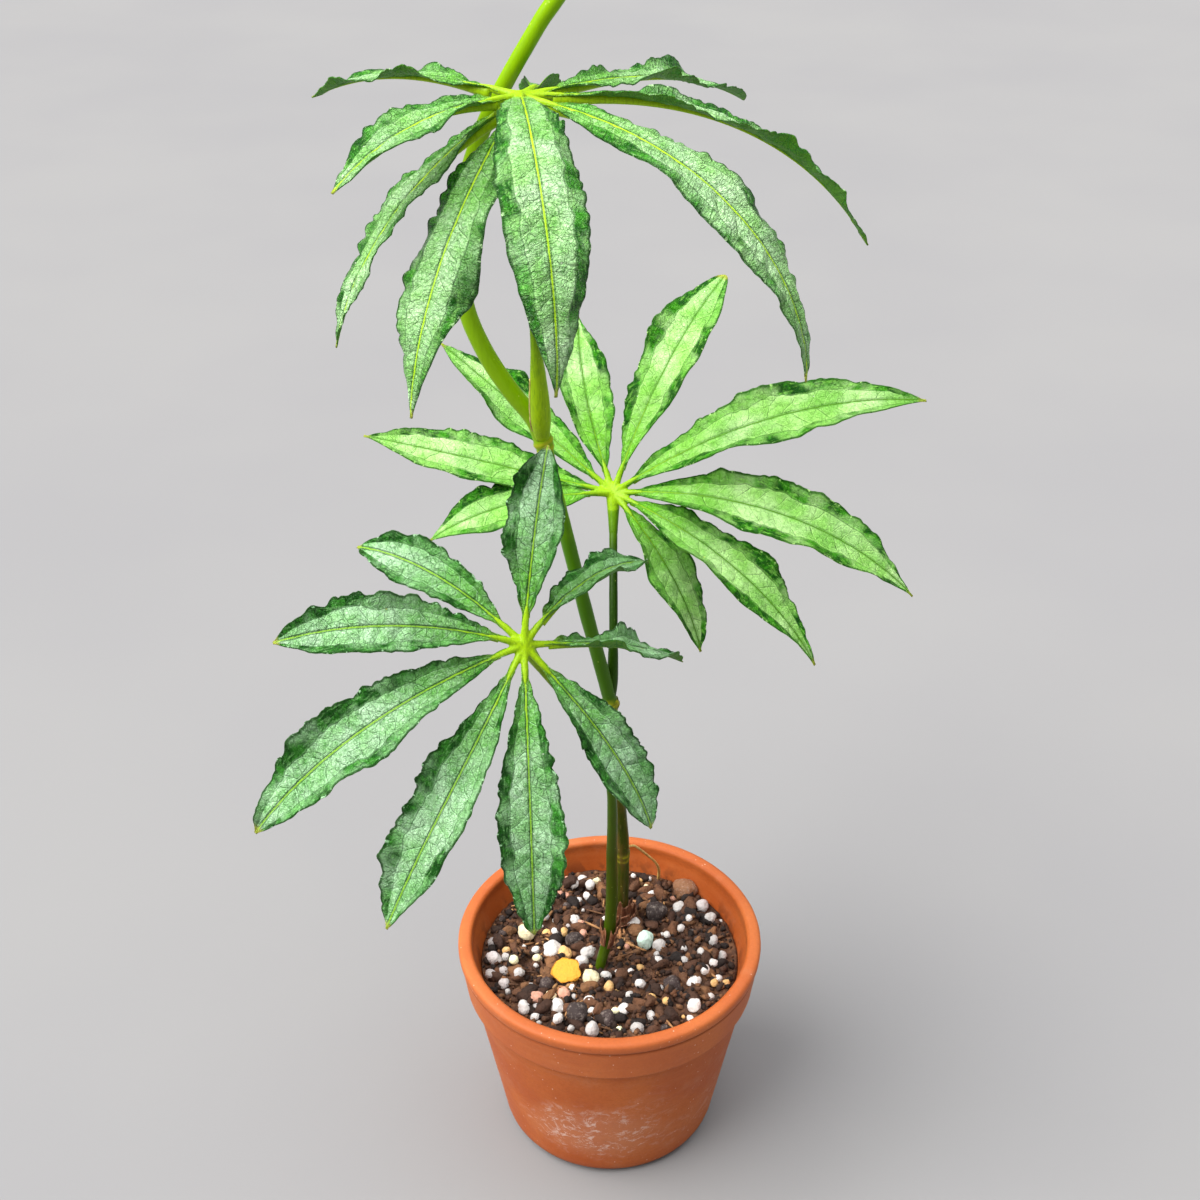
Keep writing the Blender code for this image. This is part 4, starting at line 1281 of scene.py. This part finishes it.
def make_stem():
    """Stem with swollen rings at its nodes."""
    places = smooth_route(STEM_ROUTE, round(route_length(STEM_ROUTE) / STEM_ROW_SPACING))
    angles = np.arange(STEM_SIDES) * math.tau / STEM_SIDES
    radii = np.repeat(places[:, 3:], STEM_SIDES, axis=1)
    rings = np.zeros(radii.shape)
    for node_height in NODE_HEIGHTS:
        for offset, width, height in ((0.0, 0.7, 0.4), (-2.6, 0.6, 0.18), (2.2, 1.2, -0.12)):
            slant = offset + 0.7 * np.cos(angles + node_height)[None, :]
            swell = np.exp(-((places[:, 2:3] - node_height - slant) / width) ** 2)
            radii = radii + height * swell
            rings = np.maximum(rings, swell if height > 0.0 else 0.0)
    for row, place in enumerate(places):
        for step, angle in enumerate(angles):
            spot = Vector((math.cos(angle) * 1.4, math.sin(angle) * 1.4, place[2] / 14.0))
            radii[row, step] += 0.13 * lumps(*spot) + 0.05 * lumps(*spot * 4.0)
    shape = Shape()
    points, faces = tube(places[:, :3], radii, STEM_SIDES, round_end=3)
    ring_values = np.zeros(len(points))
    ring_values[:rings.size] = rings.ravel()
    shape.add(points, faces, 0, ring=ring_values)
    piece = shape.build("stem_fine", [stem_material()])
    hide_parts("stem")


def sheet_faces(rows, columns):
    """Faces of a closed sheet, an inner grid of points and then an outer one."""

    def corner(layer, row, column):
        return (layer * rows + row) * columns + column

    faces = []
    for row in range(rows - 1):
        for column in range(columns - 1):
            square = ((row, column), (row, column + 1), (row + 1, column + 1), (row + 1, column))
            faces.append(tuple(corner(1, *place) for place in square))
            faces.append(tuple(corner(0, *place) for place in reversed(square)))
    for row in range(rows - 1):
        for column, step in ((0, -1), (columns - 1, 1)):
            strip = (corner(1, row, column), corner(0, row, column), corner(0, row + 1, column),
                     corner(1, row + 1, column))
            faces.append(strip[::step])
    for column in range(columns - 1):
        for row, step in ((0, 1), (rows - 1, -1)):
            strip = (corner(1, row, column), corner(0, row, column), corner(0, row, column + 1),
                     corner(1, row, column + 1))
            faces.append(strip[::step])
    return faces


def add_sleeve(shape, draw, route, low, high, first_angle, last_angle, stand_off, flare):
    """Dry sheath part of the way round a stem, between two heights, with a ragged upper edge."""
    heights = np.linspace(0.0, 1.0, SHEATH_ROWS)
    angles = np.radians(np.linspace(first_angle, last_angle, SHEATH_COLUMNS))
    places = smooth_route(route, ROUTE_STEPS)
    seed = draw.uniform(0.0, 50.0)
    layers = []
    for thickness in (0.0, SHEATH_THICKNESS):
        layer = []
        for share in heights:
            row = []
            for angle in angles:
                ragged = 1.0 + 0.5 * lumps(angle * 2.1, seed) + 0.25 * lumps(angle * 7.0, seed, 4.0)
                z = low + (high - low) * share * ragged
                x, y, radius = (np.interp(z, places[:, 2], places[:, axis]) for axis in (0, 1, 3))
                crumple = 0.35 * lumps(angle * 3.0, share * 4.0, seed)
                away = radius + stand_off + flare * share ** 2 + crumple * share + thickness
                row.append((x + away * math.cos(angle), y + away * math.sin(angle), z))
            layer.append(row)
        layers.append(layer)
    shape.add(np.array(layers).reshape(-1, 3), sheet_faces(SHEATH_ROWS, SHEATH_COLUMNS))


def make_sheaths(draw):
    """Dry sheaths at the feet of the stem and the front leaf stalk, and the dry seam of the top one."""
    shape = Shape()
    for sleeve in DRY_SLEEVES:
        add_sleeve(shape, draw, *sleeve)
    seam = []
    for x, y, z, radius in smooth_route(TOP_PETIOLE, 120):
        if SEAM_HEIGHTS[0] < z < SEAM_HEIGHTS[1]:
            wobble = 0.25 * lumps(0.0, 0.0, z / 2.4)
            seam.append((x - radius * 0.97, y - radius * 0.25, z, SEAM_RADIUS + wobble))
    seam = np.array(seam)
    shape.add(*tube(seam[:, :3], seam[:, 3], 8), 1)
    brown = papery_material("dry_sheath", (84, 44, 26), (140, 88, 56), (196, 146, 112))
    cream = papery_material("dry_seam", (128, 96, 44), (204, 186, 112), (226, 214, 160))
    shape.build("dry_sheaths", [brown, cream])


def make_root():
    """Dried aerial root, slightly uneven."""
    route = smooth_route(ROOT_ROUTE, 60)
    swell = np.array([lumps(0.0, 0.0, row / 5.0) for row in range(len(route))])
    root = Shape()
    root.add(*tube(route[:, :3], route[:, 3] + 0.12 * swell, 10, round_end=2))
    root.build("aerial_root", [root_material()])


def rounded(corners, spacing, steps=5):
    """Outline through corners of (radius, height, rounding), each rounded off, with even points between."""
    outline = []
    count = len(corners)
    for index, (r, z, rounding) in enumerate(corners):
        corner = Vector((r, z))
        before = Vector(corners[index - 1][:2]) - corner
        after = Vector(corners[(index + 1) % count][:2]) - corner
        first = corner + before.normalized() * min(rounding, before.length * 0.45)
        last = corner + after.normalized() * min(rounding, after.length * 0.45)
        for step in range(steps + 1):
            t = step / steps
            outline.append(first * (1 - t) ** 2 + corner * 2 * t * (1 - t) + last * t * t)
    spaced = []
    for here, following in zip(outline, outline[1:] + outline[:1]):
        pieces = max(1, math.ceil((following - here).length / spacing))
        spaced += [here.lerp(following, step / pieces) for step in range(pieces)]
    return np.array(spaced)


def pot_outline():
    """Outline of the pot: rolled lip, a crease under it, a band and a body that narrows to the foot."""
    lip_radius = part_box("pot")[1].x / MM
    lip_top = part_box("pot")[1].z / MM
    band_top = lip_top - LIP_DEPTH
    corners = [
        (LIP_INNER_RADIUS, lip_top - 4.0, 2.0),
        (LIP_INNER_RADIUS, lip_top, LIP_ROUND),
        (lip_radius, lip_top, LIP_ROUND * 1.3),
        (lip_radius, band_top + 1.0, 1.6),
        (lip_radius - CREASE_DEPTH - 0.45, band_top - 0.1, 0.3),
        (lip_radius - CREASE_DEPTH + 0.05, band_top - 0.9, 0.5),
        (BAND_BOTTOM_RADIUS + 0.1, BAND_BOTTOM + 0.1, 0.5),
        (NECK_RADIUS - 0.4, NECK_TOP + 0.3, 0.4),
        (FOOT_RADIUS, 0.0, FOOT_ROUND),
        (DRAIN_RADIUS, 0.0, 0.5),
        (DRAIN_RADIUS, FLOOR_TOP, 0.5),
        (FLOOR_RADIUS, FLOOR_TOP, 1.0),
        (WALL_FOOT_RADIUS, WALL_FOOT_HEIGHT, 1.0),
        (SHOULDER_RADIUS, SHOULDER_HEIGHT, 1.0),
        (SOIL_RADIUS, SOIL_TOP, 1.0),
    ]
    return rounded(corners, POT_ROW_SPACING)


def make_pot():
    """Turned pot, slightly uneven."""
    outline = pot_outline()
    angles = np.arange(POT_SIDES) * math.tau / POT_SIDES
    radii = np.repeat(outline[:, :1], POT_SIDES, axis=1)
    heights = np.repeat(outline[:, 1:], POT_SIDES, axis=1)
    outside = (outline[:, 0] > 20.0) & (outline[:, 1] > 3.0)
    for row in np.nonzero(outside)[0]:
        z = outline[row, 1]
        for step, angle in enumerate(angles):
            spot = Vector((math.cos(angle) * 2.2, math.sin(angle) * 2.2, z / 22.0))
            radii[row, step] += 0.16 * lumps(*spot) + 0.05 * lumps(*spot * 5.0)
    points = np.stack([radii * np.cos(angles), radii * np.sin(angles), heights], axis=-1).reshape(-1, 3)
    faces = []
    for row in range(len(outline)):
        following = (row + 1) % len(outline)
        for step in range(POT_SIDES):
            after = (step + 1) % POT_SIDES
            square = ((row, step), (following, step), (following, after), (row, after))
            faces.append(tuple(ring * POT_SIDES + side for ring, side in square))
    inner = (outline[:, 0] < LIP_INNER_RADIUS + 1.0) & (outline[:, 1] > NECK_TOP + 1.0)
    shape = Shape()
    shape.add(points, faces, 0, inside=np.repeat(inner.astype(float), POT_SIDES))
    piece = shape.build("pot_fine", [terracotta_material()])
    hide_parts("pot")


def soil_surface():
    """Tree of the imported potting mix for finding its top."""
    node = frame["nodes"]["soil"]
    points = [vertex.co / MM for vertex in node.data.vertices]
    return BVHTree.FromPolygons(points, [tuple(polygon.vertices) for polygon in node.data.polygons])


def soil_height(surface, x, y):
    """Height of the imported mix, or its level where there is a hole in it."""
    hit = surface.ray_cast(Vector((x, y, ABOVE_ALL_SOIL)), Vector((0.0, 0.0, -1.0)))[0]
    return hit.z if hit and hit.z > SOIL_LEAST_TOP else SOIL_TOP


def place_seen(surface, x, y):
    """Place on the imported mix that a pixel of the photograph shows, or None."""
    pitch = math.radians(CAMERA_PITCH)
    focal = IMAGE_SIZE * CAMERA_LENS / CAMERA_SENSOR
    forward = Vector((0.0, math.cos(pitch), -math.sin(pitch)))
    up = Vector((0.0, math.sin(pitch), math.cos(pitch)))
    middle = IMAGE_SIZE / 2
    sight = forward + Vector((1.0, 0.0, 0.0)) * ((x - middle) / focal) + up * ((middle - y) / focal)
    return surface.ray_cast(Vector(CAMERA_PLACE) / MM, sight.normalized())[0]


def ball(detail):
    """Points and faces of a unit icosphere."""
    bm = bmesh.new()
    bmesh.ops.create_icosphere(bm, subdivisions=detail, radius=1.0)
    bm.verts.index_update()
    points = [vertex.co.copy() for vertex in bm.verts]
    faces = [tuple(vertex.index for vertex in face.verts) for face in bm.faces]
    bm.free()
    return points, faces


def add_grain(shape, draw, model, place, radius, tint, lump, flat=(0.7, 0.95), stretch=1.0, tilt=0.6):
    """One uneven grain, its points pushed in and out by noise."""
    points, faces = model
    seed = Vector([draw.uniform(0.0, 90.0) for _ in range(3)])
    squash = Matrix.Diagonal((stretch, draw.uniform(*flat), draw.uniform(*flat)))
    turn = Matrix.Rotation(draw.uniform(0.0, math.tau), 3, "Z")
    lean = Matrix.Rotation(draw.uniform(-tilt, tilt), 3, "X")
    moved = []
    for spot in points:
        push = 1.0 + lump * noise.noise(spot * 1.3 + seed) + 0.4 * lump * noise.noise(spot * 3.1 + seed)
        moved.append(turn @ lean @ squash @ (spot * push) * radius + Vector(place))
    shade = draw.uniform(0.86, 1.1)
    shape.add(moved, faces, 0, tint=srgb(*[min(255.0, value * shade) for value in tint]))


def raised(place, lift):
    """Place that is a little above another."""
    x, y, z = place
    return x, y, z + lift


def free_place(draw, surface, taken, radius, field, spacing=0.7):
    """Random place on the potting mix clear of the taken ones, or None."""
    for _ in range(PLACE_TRIES):
        away = (field - radius) * math.sqrt(draw.random())
        angle = draw.uniform(0.0, math.tau)
        x = away * math.cos(angle)
        y = away * math.sin(angle)
        if all(math.hypot(x - tx, y - ty) > spacing * (radius + tr) for tx, ty, tr in taken):
            taken.append((x, y, radius))
            return x, y, soil_height(surface, x, y)
    return None


def add_mix(shape, surface):
    """Body of the mix inside the pot, with a rough top."""
    rings = [
        (FLOOR_RADIUS - POT_SOIL_GAP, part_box("soil")[0].z / MM),
        (WALL_FOOT_RADIUS - POT_SOIL_GAP, WALL_FOOT_HEIGHT),
        (SHOULDER_RADIUS - POT_SOIL_GAP, SHOULDER_HEIGHT),
    ]
    rings += [(SOIL_FIELD * (1.0 - ring / SOIL_RINGS) + 0.05, None) for ring in range(SOIL_RINGS)]
    points = []
    for radius, z in rings:
        for step in range(SOIL_SIDES):
            angle = math.tau * step / SOIL_SIDES
            x = radius * math.cos(angle)
            y = radius * math.sin(angle)
            rough = 0.9 * lumps(x / 3.1, y / 3.1) + 0.5 * lumps(x / 1.4, y / 1.4)
            top = soil_height(surface, min(x, SOIL_EDGE), y) + rough - 0.3
            points.append((x, y, top if z is None else z))
    shape.add(points, tube_faces(len(rings), SOIL_SIDES), 1)


def add_crumbs(shape, surface, draw, model):
    """Crumbs all over the mix, clear of the stems."""
    for _ in range(CRUMB_COUNT):
        radius = draw.uniform(*CRUMB_RADII) + draw.choice((0.0, 0.0, 0.8))
        spot = free_place(draw, surface, [], radius, CRUMB_FIELD)
        if all(math.hypot(spot[0] - x, spot[1] - y) > foot + radius for x, y, foot in STEM_FEET):
            tint = draw.choice(CRUMB_TINTS)
            place = raised(spot, radius * draw.uniform(0.1, 0.6))
            add_grain(shape, draw, model, place, radius, tint, 0.55)


def add_chips(shape, surface, draw, model):
    """Bark chips that overlap a little at most."""
    taken = list(STEM_FEET)
    for _ in range(CHIP_COUNT):
        radius = draw.uniform(*CHIP_RADII)
        spot = free_place(draw, surface, taken, radius, SOIL_EDGE, 0.45)
        if spot:
            place = raised(spot, radius * 0.25)
            tint = draw.choice(CRUMB_TINTS)
            add_grain(shape, draw, model, place, radius, tint, 0.6, (0.5, 0.85), 1.15, 0.5)


def add_slivers(shape, surface, draw, model):
    """Long, thin bits of bark."""
    for _ in range(SLIVER_COUNT):
        radius = draw.uniform(*SLIVER_RADII)
        place = raised(free_place(draw, surface, list(STEM_FEET), 3.0, SLIVER_FIELD), 1.3)
        tint = draw.choice(SLIVER_TINTS)
        add_grain(shape, draw, model, place, radius, tint, 0.3, (0.6, 0.9), draw.uniform(4.0, 8.0), 0.5)


def add_fibres(shape, surface, draw, model):
    """Paler fibres in loose heaps."""
    for _ in range(FIBRE_COUNT):
        x, y, spread = draw.choice(FIBRE_HEAPS)
        x += draw.gauss(0.0, spread / 2)
        y += draw.gauss(0.0, spread / 2)
        place = (x, y, soil_height(surface, x, y) + draw.uniform(0.6, 1.6))
        radius = draw.uniform(*FIBRE_RADII)
        tint = draw.choice(FIBRE_TINTS)
        add_grain(shape, draw, model, place, radius, tint, 0.5, (0.5, 0.9), draw.uniform(1.6, 4.5))


def make_soil(surface, draw):
    """Rough top of the potting mix, with crumbs and bark chips grown into one piece."""
    shape = Shape()
    small = ball(1)
    add_mix(shape, surface)
    add_crumbs(shape, surface, draw, small)
    add_chips(shape, surface, draw, ball(2))
    add_slivers(shape, surface, draw, small)
    add_fibres(shape, surface, draw, small)
    crumbs = grain_material("crumbs", 0.85, (34, 21, 15), 0.55)
    piece = shape.build("soil_fine", [crumbs, soil_material()])
    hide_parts("soil")


def make_grains(surface, draw):
    """Perlite, pebbles and lava bits that lie on the potting mix."""
    shape = Shape()
    fine = ball(3)
    medium = ball(2)
    taken = list(STEM_FEET)
    for x, y, radius, tint in GRAINS_SEEN:
        hit = place_seen(surface, x, y)
        if hit and math.hypot(hit.x, hit.y) < SEEN_FIELD:
            taken.append((hit.x, hit.y, radius))
            model = fine if radius > FINE_FROM_RADIUS else medium
            place = raised(hit, radius * 0.3)
            add_grain(shape, draw, model, place, radius, tint, 0.24, (0.8, 0.98), 1.05)
    for _ in range(PERLITE_COUNT):
        radius = draw.uniform(*PERLITE_RADII)
        spot = free_place(draw, surface, taken, radius, PERLITE_FIELD, 0.95)
        if spot:
            place = raised(spot, radius * draw.uniform(0.2, 0.5))
            tint = draw.choice(PERLITE_TINTS)
            add_grain(shape, draw, medium, place, radius, tint, 0.24, (0.8, 0.98))
    shape.build("grains", [grain_material("perlite", 0.8, (196, 180, 168), 0.3)])


def make_flake(surface):
    """Yellow round flake that lies tilted on the mix."""
    points, faces = ball(3)
    forward, sideways = (math.radians(angle) for angle in FLAKE_LEAN)
    lean = Matrix.Rotation(forward, 3, "X") @ Matrix.Rotation(sideways, 3, "Y")
    place = Vector(raised(place_seen(surface, *FLAKE_PIXEL), FLAKE_RISE))
    moved = []
    for spot in points:
        push = 1.0 + 0.34 * noise.noise(spot * 1.9 + Vector((4.0, 1.0, 2.0)))
        z = spot.z * FLAKE_HALF_THICKNESS + 0.1 * noise.noise(spot * 2.0)
        moved.append(lean @ Vector((spot.x * push, spot.y * push * 0.95, z)) * FLAKE_RADIUS + place)
    shape = Shape()
    shape.add(moved, faces, 0, tint=srgb(*YELLOW))
    shape.build("flake", [grain_material("flake_skin", 0.7, (176, 104, 40), 0.3)])


def add_floor():
    """Wide, flat floor just under the pot."""
    half = FLOOR_SIZE / 2
    corners = [(-half, -half), (half, -half), (half, half), (-half, half)]
    mesh = bpy.data.meshes.new("floor")
    mesh.from_pydata([(x, y, -FLOOR_DROP) for x, y in corners], [], [(0, 1, 2, 3)])
    mesh.materials.append(floor_material())
    floor = new_object("floor", mesh)


def add_lights():
    """Soft light from overhead over a dim surround, with a broad key from the left."""
    world = bpy.data.worlds.new("studio")
    world.use_nodes = True
    bpy.context.scene.world = world
    nodes = Nodes(world.node_tree)
    height = nodes.node("SeparateXYZ", "Z", {0: nodes.node("TexCoord", "Generated")})
    overhead = nodes.math("POWER", height, OVERHEAD_FOCUS, clamp=True)
    strength = nodes.math("MULTIPLY_ADD", overhead, OVERHEAD_STRENGTH, SURROUND_STRENGTH)
    background = nodes.tree.nodes["Background"]
    background.inputs["Color"].default_value = SKY_COLOUR
    nodes.put(background.inputs["Strength"], strength)
    data = bpy.data.lights.new("key", "SUN")
    data.energy = KEY_STRENGTH
    data.angle = math.radians(KEY_SPREAD)
    data.color = KEY_COLOUR
    key = new_object("key", data)
    key.rotation_euler = Vector(KEY_FROM).to_track_quat("Z", "Y").to_euler()


def add_camera():
    """Camera at the photograph's own place."""
    data = bpy.data.cameras.new("camera")
    data.lens = CAMERA_LENS
    data.sensor_width = CAMERA_SENSOR
    camera = new_object("camera", data)
    camera.location = CAMERA_PLACE
    camera.rotation_euler = (math.radians(90.0 - CAMERA_PITCH), 0.0, 0.0)
    bpy.context.scene.camera = camera


def main():
    """Camera, floor and light, and then the pieces."""
    clear_start()
    add_camera()
    add_floor()
    add_lights()
    bpy.context.scene.view_settings.view_transform = "Standard"
    draw = random.Random(SEED)
    surface = soil_surface()
    make_pot()
    make_soil(surface, draw)
    make_grains(surface, draw)
    make_flake(surface)
    make_stem()
    make_sheaths(draw)
    make_root()
    make_leaves()


main()
